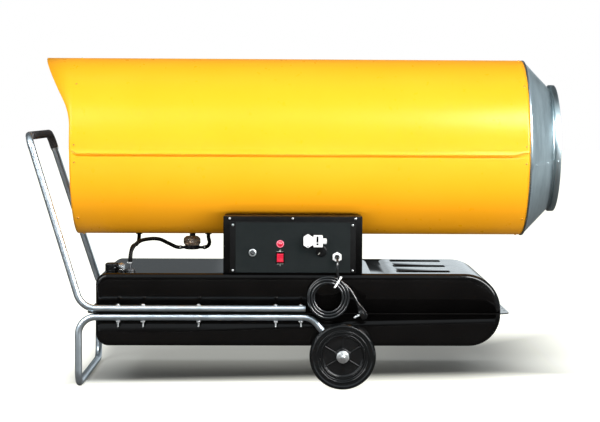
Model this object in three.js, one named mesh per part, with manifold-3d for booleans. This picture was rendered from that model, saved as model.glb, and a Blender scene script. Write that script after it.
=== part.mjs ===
// Diesel forced air heater: a two-part sheet barrel with fan, burner and combustion chamber,
// carried by a control housing on a pressed fuel tank, with a tube frame, two wheels and a mains lead.
// Millimetres. +X points along the barrel to the hot air outlet, -Y to the control panel, +Z up.
// The origin lies on the floor, midway between the handle and the outlet rim, on the middle plane.

import * as THREE from 'three';
import { mergeVertices } from 'three/addons/utils/BufferGeometryUtils.js';
import Module from 'manifold-3d';

const wasm = await Module();
wasm.setup();

// ---------------------------------------------------------------- driving sizes

// Clearances
const GAP = 0.3;                 // between flat faces that touch, and round a shaft
const ROUND_GAP = 0.6;           // between faceted round walls that touch

// Barrel
const BARREL_CLEARANCE = 102;    // from the top of the tank to the barrel's underside
const CASING_RADIUS = 273;       // outside of the lower casing
const SHEET = 1.5;
const CASING_REAR = -686;
const CASING_LENGTH = 1387;
const CASING_SIDES = 56;
const SEAM_DROP = 8;             // upper casing's plain lower edge, below the axis
const LIP_DROP = 17;             // its flared lower edge, below the axis
const LIP_FLARE = 5;
const LIP_HEIGHT = 15;
const LIP_REAR_INSET = 28;
const LIP_FRONT_INSET = 56;
const HOOD_RISE = 60;            // the rear edge is upright to this height above the axis
const HOOD_BEND = 177;
const HOOD_ANGLE = 29;           // degrees

// Outlet
const SKIRT_LENGTH = 25;
const BEAD_WIDTH = 8;
const BEAD_HEIGHT = 2.6;
const CONE_LENGTH = 75;
const NECK_RADIUS = 192;
const RIM_RADIUS = 199;
const RIM_WIDTH = 18;
const RIM_STEP = 4;
const CONE_SIDES = 32;

// Combustion chamber and flame disc
const CHAMBER_RADIUS = 190;
const CHAMBER_REAR = -230;
const CHAMBER_LENGTH = 840;
const CHAMBER_SIDES = 24;
const CHAMBER_LIP = 14;
const FOOT_INSET = 90;
const FOOT_WIDTH = 30;
const FLAME_DISC_RADIUS = 135;
const FLAME_DISC_INSET = 60;
const FLAME_DISC_DISH = 22;
const STRAP_WIDTH = 24;

// Burner
const HEAD_THICKNESS = 2;
const HEAD_INSET = 12;
const HEAD_DISH = 18;
const NOZZLE_RADIUS = 9;
const NOZZLE_REACH = 22;
const SWIRL_SLOTS = 8;
const SWIRL_INNER = 24;
const SWIRL_OUTER = 62;
const SWIRL_WIDTH = 9;
const PHOTOCELL_RADIUS = 8;
const PHOTOCELL_LENGTH = 52;
const PHOTOCELL_OFFSET = 92;

// Motor, shaft, fan and pump
const MOTOR_REAR = -556;
const MOTOR_LENGTH = 160;
const MOTOR_RADIUS = 72;
const MOTOR_SIDES = 18;
const SHAFT_RADIUS = 8;
const SHAFT_SIDES = 12;
const SHAFT_PUMP_END = 18;
const PUMP_LENGTH = 62;
const PUMP_WIDTH = 66;
const FAN_HUB_RADIUS = 52;
const FAN_HUB_LENGTH = 54;
const FAN_TO_MOTOR = 18;
const FAN_RADIUS = 240;
const BLADES = 6;
const BLADE_THICKNESS = 2.6;
const BLADE_ROOT_CHORD = 78;
const BLADE_TIP_CHORD = 124;
const BLADE_ROOT_PITCH = 50;     // degrees from the plane of turning
const BLADE_TIP_PITCH = 24;
const CRADLE_LENGTH = 46;
const CRADLE_WALL = 4;
const CRADLE_LEG_ANGLE = 38;     // degrees from straight down

// Intake guard
const GUARD_INSET = 12;
const GUARD_WIRE = 2.2;
const GUARD_RINGS = 5;
const GUARD_SPOKES = 4;
const GUARD_INNER_RADIUS = 30;

// Fuel tank
const TANK_REAR = -605.5;
const TANK_LENGTH = 1220;
const TANK_HALF_WIDTH = 290;
const TANK_TOP = 342;
const TANK_BOTTOM = 123;
const SEAM_HEIGHT = 225;
const FLANGE_WIDTH = 25;
const FLANGE_CORNER = 34;
const UPPER_REAR_RADIUS = 34;
const LOWER_REAR_RADIUS = 38;
const UPPER_FRONT_RADIUS = 108;
const LOWER_FRONT_RADIUS = 96;
const TANK_EDGE_RADIUS = 10;
const RECESS_REAR = 213;
const RECESS_LENGTH = 66;
const RECESS_DEPTH = 4;
const RECESS_MARGIN = 18;
const GROOVE_REAR = 304;
const GROOVE_LENGTH = 162;
const GROOVE_WIDTH = 13;
const GROOVE_DEPTH = 6;
const GROOVE_SPACING = 198;
const DRAIN_X = -323;
const DRAIN_RADIUS = 9;

// Filler, level gauge and pick-up, on the tank's rear top
const FILLER_X = -562;
const FILLER_Y = -205;
const NECK_BORE = 17;
const NECK_WALL = 2;
const NECK_HEIGHT = 14;
const CAP_RADIUS = 22.5;
const CAP_HEIGHT = 25;
const CAP_RIBS = 16;
const GAUGE_X = -532;
const GAUGE_Y = -232;
const GAUGE_RADIUS = 11.5;
const GAUGE_HEIGHT = 27;
const GAUGE_SHANK = 9;
const GAUGE_DEPTH = 130;
const PICKUP_X = -508;
const PICKUP_Y = -205;
const PICKUP_RADIUS = 16;
const PICKUP_DEPTH = 190;
const TAIL_HEIGHT = 16;
const TAIL_SPACING = 13;

// Frame tubes
const TUBE_RADIUS = 10.65;
const TUBE_BORE = 8.65;
const TUBE_SIDES = 12;
const BORE_SIDES = 6;
const RAIL_OFFSET = 305;         // both lower rails, from the middle plane
const HANDLE_FRONT = 24;
const HANDLE_LOW_X = -646;
const HANDLE_TOP_X = -809;
const HANDLE_TOP_Z = 752;
const HANDLE_TOP_OFFSET = 258;
const HANDLE_LOW_BEND = 60;
const HANDLE_TOP_BEND = 38;
const GRIP_WALL = 1.6;
const GRIP_RUN = 34;             // along the far leg, past the bend
const FOOT_X = -655;
const FOOT_BEND = 52;
const FOOT_LOW_BEND = 40;
const FOOT_FRONT_X = 42;
const FOOT_FRONT_BEND = 50;
const EYE_RADIUS = 17;
const EYE_THICKNESS = 9;
const BOLT_PLACES = [-537, -462, -296, -65, 11];
const BOLT_RADIUS = 3;
const BOLT_SIDES = 6;
const BOLT_HOLE_SIDES = 4;       // square, for the bolts' square necks
const BOLT_HEAD_RADIUS = 6.2;
const BOLT_HEAD_HEIGHT = 4;
const BOLT_TAIL = 13;            // below its nut

// Wheels and axle
const WHEEL_X = 136;
const WHEEL_RADIUS = 100;
const WHEEL_WIDTH = 42;
const WHEEL_SIDES = 32;
const WHEEL_GAP = 3.5;           // between rail and tyre
const RIM_SEAT_RADIUS = 68;
const TYRE_SHOULDER = 9;
const HUB_RIM_WALL = 5;
const HUB_WEB = 5;
const HUB_BOSS_RADIUS = 20;
const HUB_SIDES = 20;
const HUB_RIBS = 6;
const HUB_RIB_THICKNESS = 4;
const HUB_RECESS = 9;
const AXLE_RADIUS = 8;
const AXLE_SIDES = 16;
const AXLE_HEAD = 10;
const WASHER_RADIUS = 19;
const WASHER_THICKNESS = 2.5;
const NUT_RADIUS = 12;

// Control housing and panel
const HOUSING_REAR = -223;
const HOUSING_LENGTH = 418;
const HOUSING_HALF_WIDTH = 286;
const SADDLE_RISE = 71;          // how far the housing reaches up beside the barrel
const HOUSING_SHEET = 2;
const HOUSING_BORDER = 24;
const SADDLE_WIDTH = 22;
const PANEL_THICKNESS = 2;
const PANEL_BORDER = 20;         // housing front that shows at each end of the panel
const PANEL_TOP_BORDER = 17;
const LAMP_X = -52;
const LAMP_ABOVE_TANK = 90;
const LAMP_RADIUS = 10.5;
const LAMP_SHANK = 8;
const ROCKER_X = -52;
const ROCKER_ABOVE_TANK = 48;
const BEZEL_LENGTH = 34;
const BEZEL_WIDTH = 26;
const BEZEL_RAISE = 2;
const ROCKER_RADIUS = 13.6;
const ROCKER_WIDTH = 20;
const ROCKER_TILT = 7;           // degrees to each side
const RESET_X = -135;
const RESET_ABOVE_TANK = 63;
const COLLAR_RADIUS = 11.5;
const COLLAR_HEIGHT = 6;
const BUTTON_RADIUS = 7;
const BUTTON_RAISE = 3.5;
const SOCKET_X = 31;
const SOCKET_ABOVE_TANK = 100;
const SOCKET_RAISE = 4;
const CONNECTOR_HEAD_WIDTH = 27;
const CONNECTOR_HEAD_HEIGHT = 42;
const CONNECTOR_DEPTH = 26;
const CONNECTOR_BODY_LENGTH = 28;
const CONNECTOR_BODY_HEIGHT = 36;
const CONNECTOR_END_LENGTH = 12;
const CONNECTOR_END_RADIUS = 11;
const CONNECTOR_PIN = 8;
const KNOB_X = 71;
const KNOB_ABOVE_TANK = 68;
const KNOB_RADIUS = 17;
const KNOB_HEIGHT = 8;
const KNOB_REST_ANGLE = 46;      // degrees from -X towards -Z
const SPINDLE_RADIUS = 3;
const GLAND_X = 119;
const GLAND_ABOVE_TANK = 51;
const GLAND_RADIUS = 15.4;       // over the corners of its hexagon
const GLAND_HEX = 8;
const GLAND_NOSE = 8;
const GLAND_SHANK = 10;

// Ignition transformer, on the tank inside the housing
const TRANSFORMER_SIZE = [110, 90, 64];
const TRANSFORMER_X = -60;

// Fuel lines
const HOSE_RADIUS = 5;
const HOSE_SIDES = 6;
const HOSE_HOLE_GAP = 2.5;
const FILTER_X = -328;
const FILTER_Y = -60;
const FILTER_HANG = 46;          // its base below the barrel's underside
const FILTER_BASE_RADIUS = 24;
const FILTER_BASE_HEIGHT = 12;
const BOWL_RADIUS = 27;
const BOWL_HEIGHT = 30;

// Mains lead
const CORD_RADIUS = 3.75;
const CORD_SIDES = 8;
const COIL_CENTRE_X = 91.6;
const COIL_CENTRE_Z = 272.7;
const COIL_RADIUS = 62.5;        // outermost turn, to the middle of the cord
const COIL_PITCH = 8.6;
const COIL_FRONT_Y = -332;
const COIL_START = 40;           // degrees, from +X towards +Z
const COIL_SWEEP = 1785;         // degrees, turning clockwise seen from the panel side
const COIL_STEPS_PER_TURN = 24;
const COIL_SIDES = 6;
const TIE_ANGLE = 59;
const TIE_WIDTH = 5;
const TIE_WALL = 1.4;
const PLUG_FACE_RADIUS = 18.5;
const PLUG_FACE_DEPTH = 22;
const PLUG_BODY_LENGTH = 44;
const PLUG_RELIEF_LENGTH = 12;
const PLUG_PIN_RADIUS = 2.4;
const PLUG_PIN_LENGTH = 19;
const PLUG_PIN_SPACING = 19;

// ---------------------------------------------------------------- sizes that follow

const RAD = Math.PI / 180;
const casingFront = CASING_REAR + CASING_LENGTH;
const casingBore = CASING_RADIUS - SHEET;
const insideCasing = casingBore - ROUND_GAP;
const upperRadius = CASING_RADIUS + ROUND_GAP + SHEET;
const chamberFront = CHAMBER_REAR + CHAMBER_LENGTH;
const chamberBore = CHAMBER_RADIUS - SHEET;
const motorFront = MOTOR_REAR + MOTOR_LENGTH;
const fanFront = MOTOR_REAR - FAN_TO_MOTOR;
const pumpRear = motorFront + GAP;
const pumpFront = pumpRear + PUMP_LENGTH;
const headX = CHAMBER_REAR + HEAD_INSET;
const tankFront = TANK_REAR + TANK_LENGTH;
const groundRise = TUBE_RADIUS * Math.cos(Math.PI / TUBE_SIDES);
const flangeTop = SEAM_HEIGHT + SHEET;
const flangeBottom = SEAM_HEIGHT - GAP - SHEET;
const handleRailZ = flangeTop + GAP + TUBE_RADIUS;
const footRailZ = flangeBottom - GAP - TUBE_RADIUS;
const axleZ = WHEEL_RADIUS * Math.cos(Math.PI / WHEEL_SIDES);
const wheelInner = RAIL_OFFSET + TUBE_RADIUS + WHEEL_GAP;
const wheelOuter = wheelInner + WHEEL_WIDTH;
const housingFront = HOUSING_REAR + HOUSING_LENGTH;
const housingBottom = TANK_TOP + GAP;
const panelFace = -(HOUSING_HALF_WIDTH + GAP + PANEL_THICKNESS);
const neckTop = TANK_TOP + NECK_HEIGHT;
const underBarrel = TANK_TOP + BARREL_CLEARANCE;
const axisHeight = underBarrel + CASING_RADIUS;
const housingTop = underBarrel + SADDLE_RISE;
const lampZ = TANK_TOP + LAMP_ABOVE_TANK;
const rockerZ = TANK_TOP + ROCKER_ABOVE_TANK;
const resetZ = TANK_TOP + RESET_ABOVE_TANK;
const socketZ = TANK_TOP + SOCKET_ABOVE_TANK;
const knobZ = TANK_TOP + KNOB_ABOVE_TANK;
const glandZ = TANK_TOP + GLAND_ABOVE_TANK;
const filterBase = underBarrel - FILTER_HANG;

// ---------------------------------------------------------------- solids

// A closed geometry with shared corners, no empty triangles and its faces pointing out.
function tidy(geometry) {
  const bare = geometry.clone();
  bare.deleteAttribute('normal');
  bare.deleteAttribute('uv');
  const merged = mergeVertices(bare, 1e-3);
  const position = merged.getAttribute('position');
  const corners = [...merged.index.array];
  const kept = [];
  const a = new THREE.Vector3();
  const b = new THREE.Vector3();
  const c = new THREE.Vector3();
  let volume = 0;
  for (let i = 0; i < corners.length; i += 3) {
    const [p, q, r] = corners.slice(i, i + 3);
    if (p === q || q === r || r === p) continue;
    kept.push(p, q, r);
    a.fromBufferAttribute(position, p);
    b.fromBufferAttribute(position, q);
    c.fromBufferAttribute(position, r);
    volume += a.dot(b.cross(c));
  }
  if (volume < 0) {
    for (let i = 0; i < kept.length; i += 3) [kept[i], kept[i + 1]] = [kept[i + 1], kept[i]];
  }
  merged.setIndex(kept);
  return merged;
}

function toSolid(geometry) {
  const closed = tidy(geometry);
  return new wasm.Manifold(new wasm.Mesh({
    numProp: 3,
    vertProperties: new Float32Array(closed.getAttribute('position').array),
    triVerts: new Uint32Array(closed.index.array),
  }));
}

// The plain mesh of a solid, without the corners that lie on straight edges.
function toGeometry(solid) {
  const mesh = solid.simplify(1e-3).getMesh();
  const geometry = new THREE.BufferGeometry();
  geometry.setAttribute('position', new THREE.BufferAttribute(new Float32Array(mesh.vertProperties), 3));
  geometry.setIndex([...mesh.triVerts]);
  return geometry;
}

function join(...geometries) {
  return toGeometry(geometries.map(toSolid).reduce((whole, next) => whole.add(next)));
}

function cut(geometry, ...tools) {
  return toGeometry(tools.map(toSolid).reduce((rest, tool) => rest.subtract(tool), toSolid(geometry)));
}

function common(geometry, other) {
  return toGeometry(toSolid(geometry).intersect(toSolid(other)));
}

// ---------------------------------------------------------------- shapes

function box(x0, x1, y0, y1, z0, z1) {
  const geometry = new THREE.BoxGeometry(x1 - x0, y1 - y0, z1 - z0);
  return geometry.translate((x0 + x1) / 2, (y0 + y1) / 2, (z0 + z1) / 2);
}

function arc(centreX, centreY, radius, from, to, steps) {
  return Array.from({ length: steps + 1 }, (_, i) => {
    const angle = (from + (to - from) * i / steps) * RAD;
    return [centreX + radius * Math.cos(angle), centreY + radius * Math.sin(angle)];
  });
}

function circle(radius, sides, turn = 0) {
  return arc(0, 0, radius, turn, turn + 360 * (1 - 1 / sides), sides - 1);
}

function shapeOf(points, holes = []) {
  const shape = new THREE.Shape(points.map(([x, y]) => new THREE.Vector2(x, y)));
  for (const hole of holes) shape.holes.push(new THREE.Path(hole.map(([x, y]) => new THREE.Vector2(x, y))));
  return shape;
}

const alongX = new THREE.Matrix4().makeBasis(
  new THREE.Vector3(0, 1, 0), new THREE.Vector3(0, 0, 1), new THREE.Vector3(1, 0, 0));

// An outline of (y, z) points, drawn out along X.
function prismX(shape, x0, x1) {
  const geometry = new THREE.ExtrudeGeometry(shape, { depth: x1 - x0, bevelEnabled: false });
  return geometry.applyMatrix4(alongX).translate(x0, 0, 0);
}

// An outline of (x, z) points, drawn out along Y, with its end edges rounded.
function prismY(shape, y0, y1, rounding = 0, steps = 2) {
  const geometry = new THREE.ExtrudeGeometry(shape, {
    depth: y1 - y0 - 2 * rounding,
    bevelEnabled: rounding > 0,
    bevelThickness: rounding,
    bevelSize: rounding,
    bevelOffset: -rounding,
    bevelSegments: steps,
  });
  return geometry.rotateX(Math.PI / 2).translate(0, y1 - rounding, 0);
}

// An outline of (x, y) points, drawn out along Z.
function prismZ(shape, z0, z1) {
  const geometry = new THREE.ExtrudeGeometry(shape, { depth: z1 - z0, bevelEnabled: false });
  return geometry.translate(0, 0, z0);
}

function revolve(profile, sides) {
  return new THREE.LatheGeometry(profile.map(([radius, height]) => new THREE.Vector2(radius, height)), sides);
}

// Profiles of (radius, place) points, turned about a line along X, Y or Z.
function revolveX(profile, sides) {
  return revolve(profile, sides).rotateZ(-Math.PI / 2);
}

function revolveY(profile, sides) {
  return revolve(profile, sides);
}

function revolveZ(profile, sides) {
  return revolve(profile, sides).rotateX(Math.PI / 2);
}

function rod(radius, from, to) {
  return [[0, from], [radius, from], [radius, to], [0, to]];
}

function ring(inner, outer, from, to) {
  return [[inner, from], [outer, from], [outer, to], [inner, to], [inner, from]];
}

// A path with one station at each end of its straight runs and a few round each bend.
class StationPath extends THREE.Curve {
  constructor(stations) {
    super();
    this.stations = stations;
  }

  at(u) {
    return this.stations[Math.round(u * (this.stations.length - 1))];
  }

  getPoint(u, target = new THREE.Vector3()) {
    return target.copy(this.at(u).point);
  }

  getPointAt(u, target) {
    return this.getPoint(u, target);
  }

  getTangentAt(u, target = new THREE.Vector3()) {
    return target.copy(this.at(u).tangent);
  }
}

// Straight runs between corners, with a round bend at each inner corner.
function bentStations(corners, radii, steps) {
  const direction = (from, to) => to.clone().sub(from).normalize();
  const stations = [{ point: corners[0].clone(), tangent: direction(corners[0], corners[1]) }];
  for (let i = 1; i < corners.length - 1; i += 1) {
    const into = direction(corners[i - 1], corners[i]);
    const out = direction(corners[i], corners[i + 1]);
    const turn = into.angleTo(out);
    const radius = radii[i - 1];
    const start = corners[i].clone().addScaledVector(into, -radius * Math.tan(turn / 2));
    const inward = out.clone().addScaledVector(into, -into.dot(out)).normalize();
    for (let k = 0; k <= steps; k += 1) {
      const angle = turn * k / steps;
      stations.push({
        point: start.clone()
          .addScaledVector(into, radius * Math.sin(angle))
          .addScaledVector(inward, radius * (1 - Math.cos(angle))),
        tangent: into.clone().multiplyScalar(Math.cos(angle)).addScaledVector(inward, Math.sin(angle)),
      });
    }
  }
  const last = corners.length - 1;
  stations.push({ point: corners[last].clone(), tangent: direction(corners[last - 1], corners[last]) });
  return stations;
}

function sweep(section, stations) {
  return new THREE.ExtrudeGeometry(section, {
    steps: stations.length - 1,
    extrudePath: new StationPath(stations),
    bevelEnabled: false,
  });
}

// Stations at even steps along a smooth curve through chosen points; its end faces stand square
// to its first and last chords.
function smoothStations(points, steps) {
  const knots = points.map((p) => new THREE.Vector3(...p));
  const curve = new THREE.CatmullRomCurve3(knots, false, 'centripetal');
  curve.arcLengthDivisions = 400;
  const stations = Array.from({ length: steps + 1 }, (_, i) => ({
    point: curve.getPointAt(i / steps),
    tangent: curve.getTangentAt(i / steps),
  }));
  stations[0].tangent = knots[1].clone().sub(knots[0]).normalize();
  stations[steps].tangent = knots[knots.length - 1].clone().sub(knots[knots.length - 2]).normalize();
  return stations;
}

// A closed skin over sections that all have the same number of points.
function loft(sections) {
  const count = sections[0].length;
  const positions = sections.flat().flatMap((p) => [p.x, p.y, p.z]);
  const index = [];
  for (let s = 0; s < sections.length - 1; s += 1) {
    for (let i = 0; i < count; i += 1) {
      const a = s * count + i;
      const b = s * count + (i + 1) % count;
      index.push(a, b, b + count, a, b + count, a + count);
    }
  }
  const cap = (first, flip) => {
    const half = count / 2;
    for (let i = 0; i < half - 1; i += 1) {
      const quad = [first + i, first + i + 1, first + count - 2 - i, first + count - 1 - i];
      const order = flip ? [0, 2, 1, 0, 3, 2] : [0, 1, 2, 0, 2, 3];
      index.push(...order.map((k) => quad[k]));
    }
  };
  cap(0, true);
  cap((sections.length - 1) * count, false);
  const geometry = new THREE.BufferGeometry();
  geometry.setAttribute('position', new THREE.Float32BufferAttribute(positions, 3));
  geometry.setIndex(index);
  return geometry;
}

const mirrorY = (point) => point.clone().multiply(new THREE.Vector3(1, -1, 1));

// ---------------------------------------------------------------- the assembly

const heater = new THREE.Group();

const finishes = {
  yellow: [0xf6b51c, 0.35, 0.0],
  galvanised: [0x8d9799, 0.45, 0.85],
  zinc: [0xb9c0c2, 0.35, 0.9],
  steel: [0x74797b, 0.5, 0.8],
  heatSteel: [0x5d5650, 0.6, 0.7],
  blackGloss: [0x0c0c0e, 0.18, 0.1],
  blackSatin: [0x151719, 0.45, 0.1],
  panelGrey: [0x1d2629, 0.5, 0.0],
  rubber: [0x141415, 0.7, 0.0],
  redLamp: [0xd8203a, 0.25, 0.0],
  whitePlastic: [0xe4e9ea, 0.45, 0.0],
  clear: [0xc8d0d4, 0.2, 0.0],
  amber: [0x7a5c36, 0.2, 0.0],
  brass: [0xb08d4a, 0.35, 0.9],
};

function place(name, geometry, finish, parent = heater) {
  const [color, roughness, metalness] = finishes[finish];
  const mesh = new THREE.Mesh(tidy(geometry), new THREE.MeshStandardMaterial({ color, roughness, metalness }));
  mesh.name = name;
  parent.add(mesh);
  return mesh;
}

// Everything on the barrel's own axis is drawn about X and lifted by this group.
const barrel = new THREE.Group();
barrel.position.z = axisHeight;
heater.add(barrel);

// ---------------------------------------------------------------- casings

function casingSection(radius, fromAngle, toAngle, steps) {
  return [...arc(0, 0, radius, fromAngle, toAngle, steps),
    ...arc(0, 0, radius - SHEET, toAngle, fromAngle, steps)];
}

// Points where hoses go through the lower casing.
const feedEntry = [-278, -38];
const returnEntry = [-494, -38];

function lowerCasing() {
  const shell = prismX(shapeOf(casingSection(CASING_RADIUS, 180, 360, CASING_SIDES / 2)), CASING_REAR, casingFront);
  const holes = [feedEntry, returnEntry].map(([x, y]) => revolveZ(
    rod(HOSE_RADIUS + HOSE_HOLE_GAP, -CASING_RADIUS * 1.1, -CASING_RADIUS * 0.9), 8).translate(x, y, 0));
  return cut(shell, ...holes);
}

// One section of the upper casing: a half round with plain or flared lower edges.
function upperSection(x, drop, flare) {
  const edge = [0.35, 0.7, 1].map((part) => {
    const below = drop * part;
    const out = flare * Math.max(0, (below - (drop - LIP_HEIGHT)) / LIP_HEIGHT) ** 1.4;
    return { below, out };
  });
  const skin = (offset) => {
    const right = edge.toReversed().map(({ below, out }) => [upperRadius - offset + out, -below]);
    const round = arc(0, 0, upperRadius - offset, 0, 180, CASING_SIDES / 2);
    const left = edge.map(({ below, out }) => [-(upperRadius - offset + out), -below]);
    return [...right, ...round, ...left];
  };
  return [...skin(0), ...skin(SHEET).toReversed()].map(([y, z]) => new THREE.Vector3(x, y, z));
}

function hoodCutter() {
  const top = CASING_RADIUS * 1.2;
  const bend = arc(CASING_REAR - HOOD_BEND, HOOD_RISE, HOOD_BEND, 0, HOOD_ANGLE, 6);
  const [bendX, bendZ] = bend[bend.length - 1];
  const tipX = bendX - (top - bendZ) * Math.tan(HOOD_ANGLE * RAD);
  const beyond = CASING_REAR - 2 * CASING_RADIUS;
  const outline = [[CASING_REAR, -top], ...bend, [tipX, top], [beyond, top], [beyond, -top]];
  return prismY(shapeOf(outline), -top, top);
}

function upperCasing() {
  const sections = [
    upperSection(CASING_REAR - CASING_RADIUS / 2, SEAM_DROP, 0),
    upperSection(CASING_REAR, SEAM_DROP, 0),
    upperSection(CASING_REAR + LIP_REAR_INSET, LIP_DROP, LIP_FLARE),
    upperSection(casingFront - LIP_FRONT_INSET, LIP_DROP, LIP_FLARE),
    upperSection(casingFront, SEAM_DROP, 0),
  ];
  return cut(loft(sections), hoodCutter());
}

place('lower_casing', lowerCasing(), 'yellow', barrel);
place('upper_casing', upperCasing(), 'yellow', barrel);

// ---------------------------------------------------------------- outlet cone

const beadRear = casingFront + GAP;
const coneFront = beadRear + BEAD_WIDTH + CONE_LENGTH;
const rimFront = coneFront + RIM_STEP + RIM_WIDTH;

function outletCone() {
  const outside = [
    [insideCasing, casingFront - SKIRT_LENGTH],
    [insideCasing, beadRear],
    [CASING_RADIUS + BEAD_HEIGHT, beadRear],
    [CASING_RADIUS + BEAD_HEIGHT, beadRear + BEAD_WIDTH * 0.8],
    [insideCasing, beadRear + BEAD_WIDTH],
    [NECK_RADIUS, coneFront],
    [RIM_RADIUS, coneFront + RIM_STEP],
    [RIM_RADIUS, rimFront],
  ];
  const inside = [
    [RIM_RADIUS - SHEET, rimFront],
    [RIM_RADIUS - SHEET, coneFront + RIM_STEP + 0.5],
    [NECK_RADIUS - SHEET, coneFront + 0.5],
    [insideCasing - SHEET, beadRear + BEAD_WIDTH - 1],
    [insideCasing - SHEET, casingFront - SKIRT_LENGTH],
  ];
  return revolveX([...outside, ...inside, outside[0]], CONE_SIDES);
}

place('outlet_cone', outletCone(), 'galvanised', barrel);

// ---------------------------------------------------------------- combustion chamber

// How near the axis the flats of a many-sided round come.
function flatRadius(radius, sides) {
  return radius * Math.cos(Math.PI / sides);
}

// A radial plate, at an angle from straight up, between two radii.
function radialPlate(x0, x1, angle, thickness, inner, outer) {
  return box(x0, x1, -thickness / 2, thickness / 2, inner, outer).rotateX(-angle * RAD);
}

function insideBarrel(geometry) {
  const reach = 2 * CASING_LENGTH;
  return common(geometry, revolveX(rod(insideCasing, -reach, reach), CASING_SIDES));
}

function combustionChamber() {
  const wall = revolveX([
    [chamberBore, CHAMBER_REAR],
    [CHAMBER_RADIUS, CHAMBER_REAR],
    [CHAMBER_RADIUS, chamberFront - CHAMBER_LIP],
    [CHAMBER_RADIUS - CHAMBER_LIP, chamberFront],
    [CHAMBER_RADIUS - CHAMBER_LIP - SHEET, chamberFront],
    [chamberBore, chamberFront - CHAMBER_LIP - SHEET],
    [chamberBore, CHAMBER_REAR],
  ], CHAMBER_SIDES);
  const feet = [];
  for (const x of [CHAMBER_REAR + FOOT_INSET, chamberFront - FOOT_INSET]) {
    for (const angle of [140, 220]) {
      feet.push(radialPlate(x - FOOT_WIDTH / 2, x + FOOT_WIDTH / 2, angle, SHEET * 2,
        flatRadius(CHAMBER_RADIUS, CHAMBER_SIDES) - SHEET / 2, CASING_RADIUS));
    }
  }
  return join(wall, ...feet.map(insideBarrel));
}

// The disc in the chamber's mouth, on three straps that are welded to the chamber's wall.
function flameDisc() {
  const x = chamberFront - FLAME_DISC_INSET;
  const disc = revolveX([
    [0, x + FLAME_DISC_DISH],
    [FLAME_DISC_RADIUS * 0.7, x + FLAME_DISC_DISH * 0.8],
    [FLAME_DISC_RADIUS, x],
    [FLAME_DISC_RADIUS, x - SHEET],
    [FLAME_DISC_RADIUS * 0.7, x + FLAME_DISC_DISH * 0.8 - SHEET * 1.4],
    [0, x + FLAME_DISC_DISH - SHEET * 1.4],
  ], 20);
  const wide = box(x - SHEET, x + SHEET, -STRAP_WIDTH / 2, STRAP_WIDTH / 2, FLAME_DISC_RADIUS * 0.93, CHAMBER_RADIUS);
  const straps = [0, 120, 240].map((angle) => common(
    wide.clone().rotateX(angle * RAD),
    revolveX(rod(chamberBore + SHEET / 2, x - STRAP_WIDTH, x + STRAP_WIDTH), CHAMBER_SIDES)));
  return join(disc, ...straps);
}

place('combustion_chamber', join(combustionChamber(), flameDisc()), 'heatSteel', barrel);

// ---------------------------------------------------------------- burner

function burnerHead() {
  const edge = chamberBore - ROUND_GAP;
  const plate = revolveX([
    [NOZZLE_RADIUS + GAP, headX],
    [SWIRL_OUTER * 1.15, headX],
    [SWIRL_OUTER * 1.3, headX - HEAD_DISH],
    [edge, headX - HEAD_DISH],
    [edge, headX - HEAD_DISH + HEAD_THICKNESS * 2],
    [SWIRL_OUTER * 1.3 + HEAD_THICKNESS, headX - HEAD_DISH + HEAD_THICKNESS],
    [SWIRL_OUTER * 1.15 + HEAD_THICKNESS, headX + HEAD_THICKNESS],
    [NOZZLE_RADIUS + GAP, headX + HEAD_THICKNESS],
    [NOZZLE_RADIUS + GAP, headX],
  ], CHAMBER_SIDES);
  const slots = Array.from({ length: SWIRL_SLOTS }, (_, i) => box(
    headX - HEAD_DISH, headX + HEAD_DISH, -SWIRL_WIDTH / 2, SWIRL_WIDTH / 2, SWIRL_INNER, SWIRL_OUTER)
    .rotateX(i * 360 / SWIRL_SLOTS * RAD));
  const eye = revolveX(rod(PHOTOCELL_RADIUS + GAP, headX - 2 * HEAD_DISH, headX + HEAD_DISH), 12)
    .translate(0, 0, PHOTOCELL_OFFSET);
  return cut(plate, ...slots, eye);
}

function burnerNozzle() {
  const tip = headX + NOZZLE_REACH;
  return revolveX([
    [0, pumpFront + GAP],
    [5, pumpFront + GAP],
    [5, headX - 60],
    [NOZZLE_RADIUS, headX - 56],
    [NOZZLE_RADIUS, tip - 6],
    [4, tip],
    [0, tip],
  ], 12);
}

function photocell() {
  const front = headX + HEAD_THICKNESS;
  return revolveX([
    [0, front - PHOTOCELL_LENGTH],
    [PHOTOCELL_RADIUS + 3, front - PHOTOCELL_LENGTH],
    [PHOTOCELL_RADIUS + 3, headX - HEAD_DISH - GAP],
    [PHOTOCELL_RADIUS, headX - HEAD_DISH - GAP],
    [PHOTOCELL_RADIUS, front],
    [0, front],
  ], 12).translate(0, 0, PHOTOCELL_OFFSET);
}

place('burner_head', burnerHead(), 'steel', barrel);
place('burner_nozzle', burnerNozzle(), 'brass', barrel);
place('photocell', photocell(), 'blackSatin', barrel);

// ---------------------------------------------------------------- motor, shaft, fan and pump

function motor() {
  const bell = MOTOR_RADIUS * 0.86;
  const boss = SHAFT_RADIUS * 2.4;
  return revolveX([
    [SHAFT_RADIUS + GAP, MOTOR_REAR],
    [boss, MOTOR_REAR],
    [bell, MOTOR_REAR + 10],
    [MOTOR_RADIUS, MOTOR_REAR + 26],
    [MOTOR_RADIUS, motorFront - 20],
    [bell, motorFront - 8],
    [bell, motorFront],
    [SHAFT_RADIUS + GAP, motorFront],
    [SHAFT_RADIUS + GAP, MOTOR_REAR],
  ], MOTOR_SIDES);
}

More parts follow.
